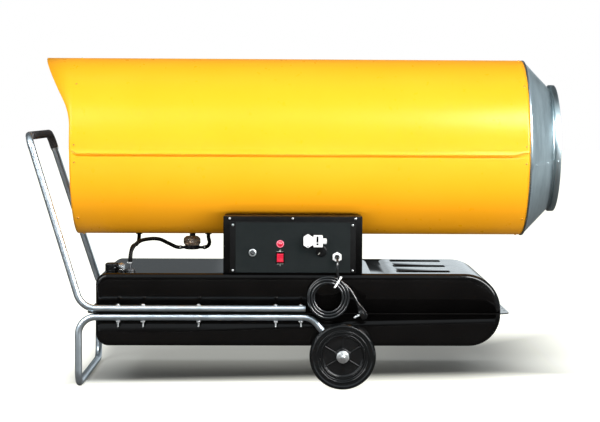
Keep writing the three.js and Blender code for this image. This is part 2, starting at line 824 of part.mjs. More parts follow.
function motorCradle() {
  const middle = (MOTOR_REAR + motorFront) / 2;
  const [rear, front] = [middle - CRADLE_LENGTH / 2, middle + CRADLE_LENGTH / 2];
  const bore = MOTOR_RADIUS + ROUND_GAP;
  const band = revolveX(ring(bore, bore + CRADLE_WALL, rear, front), MOTOR_SIDES);
  const legs = [180 - CRADLE_LEG_ANGLE, 180 + CRADLE_LEG_ANGLE].map((angle) => insideBarrel(
    radialPlate(rear, front, angle, CRADLE_WALL, bore + CRADLE_WALL / 2, CASING_RADIUS)));
  return join(band, ...legs);
}

// One blade section at a radius: a thin curved strip, twisted out of the plane of turning.
function bladeSection(radius) {
  const share = (radius - FAN_HUB_RADIUS) / (FAN_RADIUS - FAN_HUB_RADIUS);
  const chord = THREE.MathUtils.lerp(BLADE_ROOT_CHORD, BLADE_TIP_CHORD, share);
  const pitch = THREE.MathUtils.lerp(BLADE_ROOT_PITCH, BLADE_TIP_PITCH, share) * RAD;
  const camber = chord * 0.07;
  const steps = 4;
  const line = (offset) => Array.from({ length: steps + 1 }, (_, i) => {
    const t = i / steps;
    const along = (t - 0.5) * chord;
    const bulge = camber * 4 * t * (1 - t) + offset;
    return new THREE.Vector3(
      along * Math.sin(pitch) + bulge * Math.cos(pitch),
      along * Math.cos(pitch) - bulge * Math.sin(pitch),
      radius);
  });
  return [...line(BLADE_THICKNESS / 2), ...line(-BLADE_THICKNESS / 2).toReversed()];
}

function fan() {
  const rear = fanFront - FAN_HUB_LENGTH;
  const middle = (rear + fanFront) / 2;
  const hub = revolveX([
    [0, rear],
    [FAN_HUB_RADIUS * 0.75, rear],
    [FAN_HUB_RADIUS, rear + 10],
    [FAN_HUB_RADIUS, fanFront],
    [0, fanFront],
  ], 20);
  const bladeRadii = [FAN_HUB_RADIUS * 0.8, FAN_RADIUS * 0.4, FAN_RADIUS * 0.7, FAN_RADIUS];
  const blade = loft(bladeRadii.map(bladeSection)).translate(middle, 0, 0);
  const blades = Array.from({ length: BLADES }, (_, i) => blade.clone().rotateX(i * 360 / BLADES * RAD));
  const bore = revolveX(rod(SHAFT_RADIUS + GAP, rear + 8, fanFront + 10), SHAFT_SIDES);
  return cut(join(hub, ...blades), bore);
}

function motorShaft() {
  return revolveX(rod(SHAFT_RADIUS, fanFront - FAN_HUB_LENGTH + 8 + GAP, pumpRear + SHAFT_PUMP_END), SHAFT_SIDES);
}

function fuelPump() {
  const half = PUMP_WIDTH / 2;
  const body = prismX(shapeOf([
    [-half, -half], [half, -half], [half, half * 0.5], [half * 0.5, half], [-half * 0.5, half], [-half, half * 0.5],
  ]), pumpRear, pumpFront);
  const regulator = revolveX(rod(half * 0.3, pumpRear + PUMP_LENGTH / 2, pumpFront + 14), 12)
    .translate(0, half * 0.6, half * 0.3);
  const bore = revolveX(rod(SHAFT_RADIUS + GAP, pumpRear - 1, pumpRear + SHAFT_PUMP_END + GAP), SHAFT_SIDES);
  return cut(join(body, regulator), bore);
}

place('fan_motor', motor(), 'steel', barrel);
place('motor_cradle', motorCradle(), 'zinc', barrel);
place('motor_shaft', motorShaft(), 'zinc', barrel);
place('fan', fan(), 'steel', barrel);
place('fuel_pump', fuelPump(), 'steel', barrel);

// ---------------------------------------------------------------- intake guard

function intakeGuard() {
  const x = CASING_REAR + GUARD_INSET;
  const outer = insideCasing - GUARD_WIRE;
  const loops = Array.from({ length: GUARD_RINGS }, (_, i) => {
    const radius = THREE.MathUtils.lerp(outer, GUARD_INNER_RADIUS, i / (GUARD_RINGS - 1));
    const sides = Math.max(12, Math.round(radius / 20) * 2);
    const wire = [...circle(GUARD_WIRE, 4), circle(GUARD_WIRE, 4)[0]];
    return revolveX(wire.map(([r, along]) => [radius + r, x + along]), sides);
  });
  const spokeReach = outer + GUARD_WIRE / 2;
  const half = GUARD_WIRE * 0.8;
  const spokes = Array.from({ length: GUARD_SPOKES }, (_, i) => box(
    x - GUARD_WIRE * 1.6, x - GUARD_WIRE * 0.2, -half, half, GUARD_INNER_RADIUS - GUARD_WIRE, spokeReach)
    .rotateX((i + 0.5) * 360 / GUARD_SPOKES * RAD));
  return join(...loops, ...spokes);
}

place('intake_guard', intakeGuard(), 'zinc', barrel);

// ---------------------------------------------------------------- fuel tank

// The side outline of a shell, above or below the seam; it runs past the seam and is cut there.
function tankOutline(level, rearRadius, frontRadius, inset) {
  const up = level > SEAM_HEIGHT ? 1 : -1;
  const rear = TANK_REAR + inset;
  const front = tankFront - inset;
  const face = level - up * inset;
  const rearArc = rearRadius - inset;
  const frontArc = frontRadius - inset;
  const beyond = SEAM_HEIGHT - up * 2 * TANK_EDGE_RADIUS;
  return [
    [rear, beyond],
    ...arc(rear + rearArc, face - up * rearArc, rearArc, 180, 180 - up * 90, 3),
    ...arc(front - frontArc, face - up * frontArc, frontArc, up * 90, 0, 7),
    [front, beyond],
  ];
}

function tankForm(level, rearRadius, frontRadius, inset) {
  const half = TANK_HALF_WIDTH - inset;
  const rounding = TANK_EDGE_RADIUS - inset;
  return prismY(shapeOf(tankOutline(level, rearRadius, frontRadius, inset)), -half, half, rounding);
}

function roundedPlate(x0, x1, halfWidth, corner, z0, z1) {
  return prismZ(shapeOf([
    ...arc(x1 - corner, halfWidth - corner, corner, 0, 90, 3),
    ...arc(x0 + corner, halfWidth - corner, corner, 90, 180, 3),
    ...arc(x0 + corner, -halfWidth + corner, corner, 180, 270, 3),
    ...arc(x1 - corner, -halfWidth + corner, corner, 270, 360, 3),
  ]), z0, z1);
}

function flange(z0, z1) {
  const plate = roundedPlate(TANK_REAR - FLANGE_WIDTH, tankFront + FLANGE_WIDTH,
    TANK_HALF_WIDTH + FLANGE_WIDTH, FLANGE_CORNER, z0, z1);
  const inside = SHEET;
  const opening = box(TANK_REAR + inside, tankFront - inside, -TANK_HALF_WIDTH + inside, TANK_HALF_WIDTH - inside,
    z0 - 1, z1 + 1);
  return cut(plate, opening);
}

const boltPlaces = [-RAIL_OFFSET, RAIL_OFFSET].flatMap((y) => BOLT_PLACES.map((x) => [x, y]));

function boltHoles(z0, z1) {
  return boltPlaces.map(([x, y]) => revolveZ(rod((BOLT_RADIUS + GAP) / Math.cos(Math.PI / BOLT_HOLE_SIDES), z0, z1), BOLT_HOLE_SIDES)
    .rotateZ(Math.PI / BOLT_HOLE_SIDES)
    .translate(x, y, 0));
}

// A groove with round ends along X, or a cross recess, sunk into the tank's top.
function sunkShapes(inset) {
  const half = GROOVE_WIDTH / 2 + inset;
  const grooves = [-1, 0, 1].map((row) => prismZ(shapeOf([
    ...arc(GROOVE_REAR + GROOVE_WIDTH / 2, 0, half, 90, 270, 3),
    ...arc(GROOVE_REAR + GROOVE_LENGTH - GROOVE_WIDTH / 2, 0, half, -90, 90, 3),
  ]), TANK_TOP - GROOVE_DEPTH - inset, TANK_TOP + 1).translate(0, row * GROOVE_SPACING, 0));
  const recessHalf = TANK_HALF_WIDTH - RECESS_MARGIN + inset;
  const recess = box(RECESS_REAR - inset, RECESS_REAR + RECESS_LENGTH + inset, -recessHalf, recessHalf,
    TANK_TOP - RECESS_DEPTH - inset, TANK_TOP + 1);
  return [...grooves, recess];
}

function topHole(x, y, radius) {
  return revolveZ(rod(radius, TANK_TOP - 3 * SHEET, TANK_TOP + NECK_HEIGHT * 2), 16).translate(x, y, 0);
}

function tankUpperShell() {
  const outside = tankForm(TANK_TOP, UPPER_REAR_RADIUS, UPPER_FRONT_RADIUS, 0);
  const hollow = cut(tankForm(TANK_TOP, UPPER_REAR_RADIUS, UPPER_FRONT_RADIUS, SHEET), ...sunkShapes(SHEET));
  const reach = 2 * TANK_LENGTH;
  const below = box(-reach, reach, -reach, reach, -reach, SEAM_HEIGHT);
  const neck = revolveZ(rod(NECK_BORE + NECK_WALL, TANK_TOP - SHEET / 2, neckTop), 20).translate(FILLER_X, FILLER_Y, 0);
  const shell = cut(outside, hollow, below, ...sunkShapes(0));
  const whole = join(shell, flange(SEAM_HEIGHT, flangeTop), neck);
  return cut(whole,
    topHole(FILLER_X, FILLER_Y, NECK_BORE),
    topHole(GAUGE_X, GAUGE_Y, GAUGE_SHANK + GAP),
    topHole(PICKUP_X, PICKUP_Y, PICKUP_RADIUS / 2 + GAP),
    ...boltHoles(SEAM_HEIGHT - 1, flangeTop + 1));
}

function tankLowerShell() {
  const outside = tankForm(TANK_BOTTOM, LOWER_REAR_RADIUS, LOWER_FRONT_RADIUS, 0);
  const hollow = tankForm(TANK_BOTTOM, LOWER_REAR_RADIUS, LOWER_FRONT_RADIUS, SHEET);
  const reach = 2 * TANK_LENGTH;
  const above = box(-reach, reach, -reach, reach, SEAM_HEIGHT - GAP, reach);
  const whole = join(cut(outside, hollow, above), flange(flangeBottom, SEAM_HEIGHT - GAP));
  const drain = revolveZ(rod(DRAIN_RADIUS + GAP, TANK_BOTTOM - 5, TANK_BOTTOM + 5), 12).translate(DRAIN_X, 0, 0);
  return cut(whole, drain, ...boltHoles(flangeBottom - 1, SEAM_HEIGHT + 1));
}

function drainPlug() {
  return join(
    revolveZ(rod(DRAIN_RADIUS, TANK_BOTTOM - 4, TANK_BOTTOM + 8), 12),
    revolveZ(rod(DRAIN_RADIUS + 4, TANK_BOTTOM - GAP - 7, TANK_BOTTOM - GAP), 6)).translate(DRAIN_X, 0, 0);
}

function fillerCap() {
  const foot = TANK_TOP + GAP;
  const rim = Array.from({ length: CAP_RIBS * 2 }, (_, i) => {
    const radius = CAP_RADIUS - (i % 2 ? 1.6 : 0);
    const angle = i * Math.PI / CAP_RIBS;
    return [radius * Math.cos(angle), radius * Math.sin(angle)];
  });
  const body = prismZ(shapeOf(rim), foot, foot + CAP_HEIGHT - 5);
  const crown = revolveZ([
    [0, foot + CAP_HEIGHT - 6],
    [CAP_RADIUS - 2, foot + CAP_HEIGHT - 6],
    [CAP_RADIUS - 3, foot + CAP_HEIGHT],
    [0, foot + CAP_HEIGHT],
  ], 20);
  const bore = revolveZ(rod(NECK_BORE + NECK_WALL + ROUND_GAP, foot - 1, neckTop + GAP), 20);
  return cut(join(body, crown), bore).translate(FILLER_X, FILLER_Y, 0);
}

function fuelGauge() {
  const foot = TANK_TOP + GAP;
  const inside = TANK_TOP - GAUGE_DEPTH;
  return revolveZ([
    [0, inside],
    [GAUGE_SHANK - 1, inside],
    [GAUGE_SHANK - 1, inside + 26],
    [2, inside + 28],
    [2, TANK_TOP - 8],
    [GAUGE_SHANK, TANK_TOP - 6],
    [GAUGE_SHANK, foot],
    [GAUGE_RADIUS + 2, foot],
    [GAUGE_RADIUS + 2, foot + 4],
    [GAUGE_RADIUS, foot + 5],
    [GAUGE_RADIUS, foot + GAUGE_HEIGHT - 4],
    [GAUGE_RADIUS - 4, foot + GAUGE_HEIGHT],
    [0, foot + GAUGE_HEIGHT],
  ], 10).translate(GAUGE_X, GAUGE_Y, 0);
}

const tailTop = TANK_TOP + GAP + 6 + TAIL_HEIGHT;
const tailPlaces = [PICKUP_Y - TAIL_SPACING / 2, PICKUP_Y + TAIL_SPACING / 2];

function fuelPickup() {
  const foot = TANK_TOP + GAP;
  const base = revolveZ([
    [0, TANK_TOP - 10],
    [PICKUP_RADIUS / 2, TANK_TOP - 10],
    [PICKUP_RADIUS / 2, foot],
    [PICKUP_RADIUS, foot],
    [PICKUP_RADIUS, foot + 6],
    [0, foot + 6],
  ], 16).translate(PICKUP_X, PICKUP_Y, 0);
  const tails = tailPlaces.map((y) => revolveZ(rod(HOSE_RADIUS * 0.8, foot + 5, tailTop), 8).translate(PICKUP_X, y, 0));
  const dip = revolveZ(rod(4, TANK_TOP - PICKUP_DEPTH, TANK_TOP - 8), 8).translate(PICKUP_X, PICKUP_Y, 0);
  return join(base, ...tails, dip);
}

place('tank_upper_shell', tankUpperShell(), 'blackGloss');
place('tank_lower_shell', tankLowerShell(), 'blackGloss');
place('drain_plug', drainPlug(), 'blackSatin');
place('filler_cap', fillerCap(), 'blackSatin');
place('fuel_gauge', fuelGauge(), 'clear');
place('fuel_pickup', fuelPickup(), 'steel');

// ---------------------------------------------------------------- frame tubes

function tubeSection(outer, bore, boreSides) {
  return shapeOf(circle(outer, TUBE_SIDES, 180 / TUBE_SIDES), [circle(bore, boreSides, 180 / boreSides)]);
}

const handleNear = [
  new THREE.Vector3(HANDLE_FRONT, -RAIL_OFFSET, handleRailZ),
  new THREE.Vector3(HANDLE_LOW_X, -RAIL_OFFSET, handleRailZ),
  new THREE.Vector3(HANDLE_TOP_X, -HANDLE_TOP_OFFSET, HANDLE_TOP_Z),
];
const handleCorners = [...handleNear, ...handleNear.toReversed().map(mirrorY)];
const BEND_STEPS = 3;
const handleStations = bentStations(handleCorners,
  [HANDLE_LOW_BEND, HANDLE_TOP_BEND, HANDLE_TOP_BEND, HANDLE_LOW_BEND], BEND_STEPS);

function handleTube() {
  const tube = sweep(tubeSection(TUBE_RADIUS, TUBE_BORE, BORE_SIDES), handleStations);
  return cut(tube, ...boltHoles(handleRailZ - 2 * TUBE_RADIUS, handleRailZ + 2 * TUBE_RADIUS));
}

// The grip lies on the crossbar, round the far bend and a little way down the far leg.
function handleGrip() {
  const nearBendEnd = 2 * (BEND_STEPS + 1);
  const farBendEnd = nearBendEnd + BEND_STEPS + 1;
  const covered = handleStations.slice(nearBendEnd, farBendEnd + 1);
  const last = covered[covered.length - 1];
  covered.push({ point: last.point.clone().addScaledVector(last.tangent, GRIP_RUN), tangent: last.tangent });
  const bore = TUBE_RADIUS + ROUND_GAP;
  return sweep(tubeSection(bore + GRIP_WALL, bore, TUBE_SIDES), covered);
}

const footNear = [
  new THREE.Vector3(WHEEL_X, -RAIL_OFFSET, axleZ),
  new THREE.Vector3(FOOT_FRONT_X, -RAIL_OFFSET, footRailZ),
  new THREE.Vector3(FOOT_X, -RAIL_OFFSET, footRailZ),
  new THREE.Vector3(FOOT_X, -RAIL_OFFSET, groundRise),
];
const footCorners = [...footNear, ...footNear.toReversed().map(mirrorY)];

function footTube() {
  const stations = bentStations(footCorners,
    [FOOT_FRONT_BEND, FOOT_BEND, FOOT_LOW_BEND, FOOT_LOW_BEND, FOOT_BEND, FOOT_FRONT_BEND], BEND_STEPS);
  const tube = sweep(tubeSection(TUBE_RADIUS, TUBE_BORE, BORE_SIDES), stations);
  const eyes = [-RAIL_OFFSET, RAIL_OFFSET].map((y) => revolveY(
    rod(EYE_RADIUS, y - EYE_THICKNESS, y + EYE_THICKNESS), AXLE_SIDES).translate(WHEEL_X, 0, axleZ));
  const reach = 2 * RAIL_OFFSET;
  const bore = revolveY(rod(AXLE_RADIUS + GAP, -reach, reach), AXLE_SIDES).translate(WHEEL_X, 0, axleZ);
  return cut(join(tube, ...eyes), bore,
    ...boltHoles(footRailZ - 2 * TUBE_RADIUS, footRailZ + 2 * TUBE_RADIUS));
}

// A clamp bolt with its nut: head on the handle rail, through both flanges, nut under the foot rail.
function clampBolt() {
  const top = handleRailZ + TUBE_RADIUS + GAP;
  const bottom = footRailZ - TUBE_RADIUS - GAP;
  const nut = BOLT_HEAD_HEIGHT + 1;
  return join(
    revolveZ(rod(BOLT_RADIUS, bottom - nut - BOLT_TAIL, top + 1), BOLT_SIDES),
    revolveZ(rod(BOLT_HEAD_RADIUS, top, top + BOLT_HEAD_HEIGHT), BOLT_SIDES),
    revolveZ(rod(BOLT_HEAD_RADIUS, bottom - nut, bottom), BOLT_SIDES));
}

place('handle_tube', handleTube(), 'zinc');
place('handle_grip', handleGrip(), 'blackSatin');
place('foot_tube', footTube(), 'zinc');
boltPlaces.forEach(([x, y], i) => {
  const side = y < 0 ? 'right' : 'left';
  place(`clamp_bolt_${side}_${i % BOLT_PLACES.length + 1}`, clampBolt(), 'zinc').position.set(x, y, 0);
});

// ---------------------------------------------------------------- wheels and axle

// Drawn about Y with the outer face towards -Y, then turned for the other side.
function tyre() {
  const half = WHEEL_WIDTH / 2;
  const shoulder = TYRE_SHOULDER;
  return revolveY([
    [RIM_SEAT_RADIUS, -half + 2],
    [WHEEL_RADIUS - shoulder, -half],
    [WHEEL_RADIUS, -half + shoulder],
    [WHEEL_RADIUS, half - shoulder],
    [WHEEL_RADIUS - shoulder, half],
    [RIM_SEAT_RADIUS, half - 2],
    [RIM_SEAT_RADIUS, -half + 2],
  ], WHEEL_SIDES).rotateY(Math.PI / WHEEL_SIDES);
}

function hub() {
  const half = WHEEL_WIDTH / 2 - 3;
  const rimOuter = RIM_SEAT_RADIUS - ROUND_GAP;
  const rimInner = rimOuter - HUB_RIM_WALL;
  const web = -half + HUB_RECESS;
  const rim = revolveY(ring(rimInner, rimOuter, -half, half), HUB_SIDES);
  const disc = revolveY(rod(rimInner + 1, web, web + HUB_WEB), HUB_SIDES);
  const bossReach = WHEEL_WIDTH / 2;
  const boss = revolveY(rod(HUB_BOSS_RADIUS, -bossReach + 1, bossReach + WHEEL_GAP - 1.5), AXLE_SIDES);
  const ribs = Array.from({ length: HUB_RIBS }, (_, i) => box(
    HUB_BOSS_RADIUS - 3, rimInner + 1, -half + 3, web + 1, -HUB_RIB_THICKNESS / 2, HUB_RIB_THICKNESS / 2)
    .rotateY((90 + i * 360 / HUB_RIBS) * RAD));
  const bore = revolveY(rod(AXLE_RADIUS + GAP, -WHEEL_WIDTH, WHEEL_WIDTH), AXLE_SIDES);
  return cut(join(rim, disc, boss, ...ribs), bore);
}

const wheelMiddle = (wheelInner + wheelOuter) / 2;
for (const [side, y, turn] of [['right', -wheelMiddle, 0], ['left', wheelMiddle, Math.PI]]) {
  const wheel = new THREE.Group();
  wheel.position.set(WHEEL_X, y, axleZ);
  wheel.rotation.z = turn;
  heater.add(wheel);
  place(`tyre_${side}`, tyre(), 'rubber', wheel);
  place(`wheel_hub_${side}`, hub(), 'blackSatin', wheel);
}

const washerFace = wheelOuter;
const axleEnd = washerFace + AXLE_HEAD + WASHER_THICKNESS;

function axle() {
  return join(
    revolveY(rod(AXLE_RADIUS, -axleEnd, washerFace + 1), AXLE_SIDES),
    revolveY(rod(WASHER_RADIUS, washerFace, washerFace + WASHER_THICKNESS), AXLE_SIDES),
    revolveY(rod(NUT_RADIUS, washerFace, axleEnd), AXLE_SIDES)).translate(WHEEL_X, 0, axleZ);
}

function axleNut() {
  const nut = join(
    revolveY(rod(WASHER_RADIUS, -washerFace - WASHER_THICKNESS, -washerFace), AXLE_SIDES),
    revolveY(rod(NUT_RADIUS, -washerFace - AXLE_HEAD, -washerFace - 1), 6));
  const bore = revolveY(rod(AXLE_RADIUS + GAP, -2 * axleEnd, 0), AXLE_SIDES);
  return cut(nut, bore).translate(WHEEL_X, 0, axleZ);
}

place('axle', axle(), 'zinc');
place('axle_nut', axleNut(), 'zinc');

// ---------------------------------------------------------------- control housing

const panelRear = HOUSING_REAR + PANEL_BORDER;
const panelFront = housingFront - PANEL_BORDER;
const panelTop = housingTop - PANEL_TOP_BORDER;
const panelBottom = housingBottom + 2;

function barrelSeat() {
  const reach = 2 * HOUSING_LENGTH;
  return revolveX(rod(CASING_RADIUS + ROUND_GAP, -reach, reach), CASING_SIDES).translate(0, 0, axisHeight);
}

function controlHousing() {
  const half = HOUSING_HALF_WIDTH;
  const wall = HOUSING_SHEET;
  const block = box(HOUSING_REAR, housingFront, -half, half, housingBottom, housingTop);
  const inside = box(HOUSING_REAR + wall, housingFront - wall, -half + wall, half - wall,
    housingBottom - 1, housingTop - wall);
  const window = box(HOUSING_REAR + HOUSING_BORDER, housingFront - HOUSING_BORDER, -half - 1, 0,
    housingBottom + 8, panelTop - 6);
  const seat = CASING_RADIUS + ROUND_GAP;
  const saddles = [HOUSING_REAR + wall / 2, housingFront - wall / 2 - SADDLE_WIDTH].map((x) => common(
    revolveX(ring(seat, seat + wall, x, x + SADDLE_WIDTH), CASING_SIDES).translate(0, 0, axisHeight), block));
  return cut(join(cut(block, inside, window), ...saddles), barrelSeat());
}

// Holes in the panel follow the shanks of what is fitted there.
function panelHole(x, z, radius, sides = 16) {
  return revolveY(rod(radius + GAP, panelFace - 1, -HOUSING_HALF_WIDTH), sides).translate(x, 0, z);
}

const rockerOpening = { width: ROCKER_WIDTH + 2 * GAP, height: 2 * (ROCKER_RADIUS + GAP) };

function controlPanel() {
  const plate = box(panelRear, panelFront, panelFace, -HOUSING_HALF_WIDTH - GAP, panelBottom, panelTop);
  const wall = 1.2 + GAP;
  const rockerHole = box(
    ROCKER_X - rockerOpening.width / 2 - wall, ROCKER_X + rockerOpening.width / 2 + wall,
    panelFace - 1, -HOUSING_HALF_WIDTH,
    rockerZ - rockerOpening.height / 2 - wall, rockerZ + rockerOpening.height / 2 + wall);
  const socketHalf = CONNECTOR_HEAD_WIDTH / 2 - 2 + GAP;
  const socketHole = box(SOCKET_X - socketHalf, SOCKET_X + socketHalf, panelFace - 1, -HOUSING_HALF_WIDTH,
    socketZ - socketHalf, socketZ + socketHalf);
  return cut(plate, rockerHole, socketHole,
    panelHole(LAMP_X, lampZ, LAMP_SHANK),
    panelHole(RESET_X, resetZ, BUTTON_RADIUS + GAP + 1.5),
    panelHole(KNOB_X, knobZ, SPINDLE_RADIUS, 12),
    panelHole(GLAND_X, glandZ, GLAND_SHANK));
}

// Pieces on the panel are drawn with the panel's face at y = 0 and moved there by this group.
const panel = new THREE.Group();
panel.position.y = panelFace;
heater.add(panel);

function placeOnPanel(name, geometry, finish, x, z) {
  place(name, geometry, finish, panel).position.set(x, 0, z);
}

function pilotLamp() {
  return revolveY([
    [0, -7.5],
    [LAMP_RADIUS * 0.5, -7],
    [LAMP_RADIUS * 0.84, -4.6],
    [LAMP_RADIUS * 0.9, -2],
    [LAMP_RADIUS + 1, -2],
    [LAMP_RADIUS + 1, -GAP],
    [LAMP_SHANK, -GAP],
    [LAMP_SHANK, 18],
    [0, 18],
  ], 16);
}

function rockerBezel() {
  const { width, height } = rockerOpening;
  const flangePlate = box(-BEZEL_WIDTH / 2, BEZEL_WIDTH / 2, -BEZEL_RAISE - GAP, -GAP, -BEZEL_LENGTH / 2, BEZEL_LENGTH / 2);
  const wall = 1.2;
  const sleeve = box(-width / 2 - wall, width / 2 + wall, -GAP - 1, 16, -height / 2 - wall, height / 2 + wall);
  const opening = box(-width / 2, width / 2, -BEZEL_RAISE - 1, 14, -height / 2, height / 2);
  return cut(join(flangePlate, sleeve), opening);
}

// A rocker whose ends are round about its pivot, drawn with its lower half pressed in.
function rockerSwitch() {
  const proud = 7.5;
  const endAngle = Math.acos(proud / ROCKER_RADIUS) / RAD;
  const face = -180;
  const upper = arc(0, 0, ROCKER_RADIUS, face - endAngle, face - 95, 4);
  const lower = arc(0, 0, ROCKER_RADIUS, face + 95, face + endAngle, 4);
  const valley = [-proud + ROCKER_RADIUS * Math.tan(ROCKER_TILT * RAD) * 0.6, 0];
  const outline = [...upper, ...lower, valley];
  return prismX(shapeOf(outline), -ROCKER_WIDTH / 2, ROCKER_WIDTH / 2).rotateX(ROCKER_TILT * RAD);
}

function resetCollar() {
  const bore = BUTTON_RADIUS + GAP;
  return revolveY([
    [bore, -COLLAR_HEIGHT - GAP],
    [COLLAR_RADIUS - 1.5, -COLLAR_HEIGHT - GAP],
    [COLLAR_RADIUS, -COLLAR_HEIGHT + 1],
    [COLLAR_RADIUS, -GAP],
    [bore + 1.5, -GAP],
    [bore + 1.5, 14],
    [bore, 14],
    [bore, -COLLAR_HEIGHT - GAP],
  ], 16);
}

function resetButton() {
  const front = -COLLAR_HEIGHT - BUTTON_RAISE;
  return revolveY([
    [0, front - 1],
    [BUTTON_RADIUS * 0.6, front - 0.7],
    [BUTTON_RADIUS, front + 1],
    [BUTTON_RADIUS, 8],
    [0, 8],
  ], 16);
}

function thermostatSocket() {
  const half = CONNECTOR_HEAD_WIDTH / 2 + 2;
  const tall = CONNECTOR_HEAD_HEIGHT / 2 + 2;
  const inner = CONNECTOR_HEAD_WIDTH / 2 - 2;
  const plate = box(-half, half, -SOCKET_RAISE - GAP, -GAP, -tall, tall);
  const back = box(-inner, inner, -1, 14, -inner, inner);
  const pin = CONNECTOR_PIN + GAP;
  const opening = box(-pin, pin, -SOCKET_RAISE - 1, 12, -pin, pin);
  return cut(join(plate, back), opening);
}

// A right-angled white plug: a broad head on the socket, then the body and the cable end beside it.
function thermostatPlug() {
  const rear = -SOCKET_RAISE - 2 * GAP;
  const front = rear - CONNECTOR_DEPTH;
  const head = prismY(shapeOf(arc(0, 0, 1, 22.5, 337.5, 7).map(
    ([x, z]) => [x * CONNECTOR_HEAD_WIDTH / 2 / Math.cos(22.5 * RAD), z * CONNECTOR_HEAD_HEIGHT / 2])), front, rear, 1.5, 1);
  const bodyStart = CONNECTOR_HEAD_WIDTH / 2 + 3;
  const bodyEnd = bodyStart + CONNECTOR_BODY_LENGTH;
  const lift = KNOB_HEIGHT + 4;
  const half = CONNECTOR_BODY_HEIGHT / 2;
  const neck = box(CONNECTOR_HEAD_WIDTH / 2 - 2, bodyStart + 1, front + 2, -lift, -half * 0.72, half * 0.72);
  const body = box(bodyStart, bodyEnd, front, -lift, -half, half);
  const end = revolveX(rod(CONNECTOR_END_RADIUS * 0.8, bodyEnd - 1, bodyEnd + CONNECTOR_END_LENGTH), 16)
    .translate(0, (front - lift) / 2, 0);
  const slot = box(bodyStart + 9, bodyStart + 15.5, front - 1, front + 4, -half + 6, half - 4);
  const pins = box(-CONNECTOR_PIN, CONNECTOR_PIN, rear - 1, 8, -CONNECTOR_PIN, CONNECTOR_PIN);
  return join(cut(join(head, neck, body, end), slot), pins);
}

function thermostatKnob() {
  const skirt = revolveY([
    [0, -KNOB_HEIGHT],
    [KNOB_RADIUS - 2.5, -KNOB_HEIGHT],
    [KNOB_RADIUS, -KNOB_HEIGHT + 2],
    [KNOB_RADIUS, -GAP],
    [SPINDLE_RADIUS, -GAP],
    [SPINDLE_RADIUS, 12],
    [0, 12],
  ], 20);
  const pointer = box(-KNOB_RADIUS * 0.85, -KNOB_RADIUS * 0.2, -KNOB_HEIGHT - 1, -KNOB_HEIGHT + 1, -1.2, 1.2);
  return join(skirt, pointer.rotateY(-KNOB_REST_ANGLE * RAD));
}

function cableGland() {
  const hexFront = -GAP - GLAND_HEX;
  const hex = prismY(shapeOf(circle(GLAND_RADIUS, 6, 30)), hexFront, -GAP);
  const nose = revolveY([
    [0, hexFront - GLAND_NOSE],
    [CORD_RADIUS + 3, hexFront - GLAND_NOSE],
    [GLAND_SHANK, hexFront - GLAND_NOSE + 4],
    [GLAND_SHANK, 12],
    [0, 12],
  ], 16);
  return join(hex, nose);
}

place('control_housing', controlHousing(), 'blackSatin');
place('control_panel', controlPanel(), 'panelGrey');
placeOnPanel('pilot_lamp', pilotLamp(), 'redLamp', LAMP_X, lampZ);
placeOnPanel('rocker_bezel', rockerBezel(), 'blackSatin', ROCKER_X, rockerZ);
placeOnPanel('rocker_switch', rockerSwitch(), 'redLamp', ROCKER_X, rockerZ);
placeOnPanel('reset_collar', resetCollar(), 'steel', RESET_X, resetZ);
placeOnPanel('reset_button', resetButton(), 'clear', RESET_X, resetZ);
placeOnPanel('thermostat_socket', thermostatSocket(), 'blackSatin', SOCKET_X, socketZ);
placeOnPanel('thermostat_plug', thermostatPlug(), 'whitePlastic', SOCKET_X, socketZ);
placeOnPanel('thermostat_knob', thermostatKnob(), 'blackSatin', KNOB_X, knobZ);
placeOnPanel('cable_gland', cableGland(), 'whitePlastic', GLAND_X, glandZ);

function transformer() {
  const [length, width, height] = TRANSFORMER_SIZE;
  const foot = TANK_TOP + GAP;
  const block = prismY(shapeOf([
    [-length / 2, foot], [length / 2, foot], [length / 2, foot + height - 8], [length / 2 - 8, foot + height],
    [8 - length / 2, foot + height], [-length / 2, foot + height - 8],
  ]), -width / 2, width / 2);
  return block.translate(TRANSFORMER_X, 0, 0);
}

place('ignition_transformer', transformer(), 'steel');

// ---------------------------------------------------------------- fuel lines

const filterTop = filterBase + FILTER_BASE_HEIGHT;
const strapReach = axisHeight - Math.sqrt((CASING_RADIUS + ROUND_GAP) ** 2 - FILTER_Y ** 2);

function filterHead() {
  const base = revolveZ(rod(FILTER_BASE_RADIUS, filterBase, filterTop), 20);
  const outlet = revolveX(rod(HOSE_RADIUS * 0.9, 0, FILTER_BASE_RADIUS + 10), 10)
    .translate(0, 0, filterBase + FILTER_BASE_HEIGHT / 2);
  const inlet = revolveX(rod(HOSE_RADIUS * 0.9, -FILTER_BASE_RADIUS - 8, 0), 10)
    .translate(0, 0, filterBase + FILTER_BASE_HEIGHT / 2);
  const back = BOWL_RADIUS + 3;
  const strap = box(-9, 9, back, back + 3, filterBase + 2, axisHeight);
  const arm = box(-9, 9, FILTER_BASE_RADIUS - 4, back + 2, filterBase + 2, filterBase + 6);
  const whole = join(base, outlet, inlet, strap, arm).translate(FILTER_X, FILTER_Y, 0);
  return cut(whole, barrelSeat());
}

function filterBowl() {
  return revolveZ([
    [0, filterTop + GAP],
    [BOWL_RADIUS - 4, filterTop + GAP],
    [BOWL_RADIUS, filterTop + 8],
    [BOWL_RADIUS - 1, filterTop + BOWL_HEIGHT - 8],
    [BOWL_RADIUS - 8, filterTop + BOWL_HEIGHT],
    [0, filterTop + BOWL_HEIGHT],
  ], 20).translate(FILTER_X, FILTER_Y, 0);
}

const filterPort = filterBase + FILTER_BASE_HEIGHT / 2;
const filterInlet = [FILTER_X - FILTER_BASE_RADIUS - 8 - GAP, FILTER_Y, filterPort];
const filterOutlet = [FILTER_X + FILTER_BASE_RADIUS + 10 + GAP, FILTER_Y, filterPort];
const pumpUnderside = axisHeight - PUMP_WIDTH / 2 - GAP;

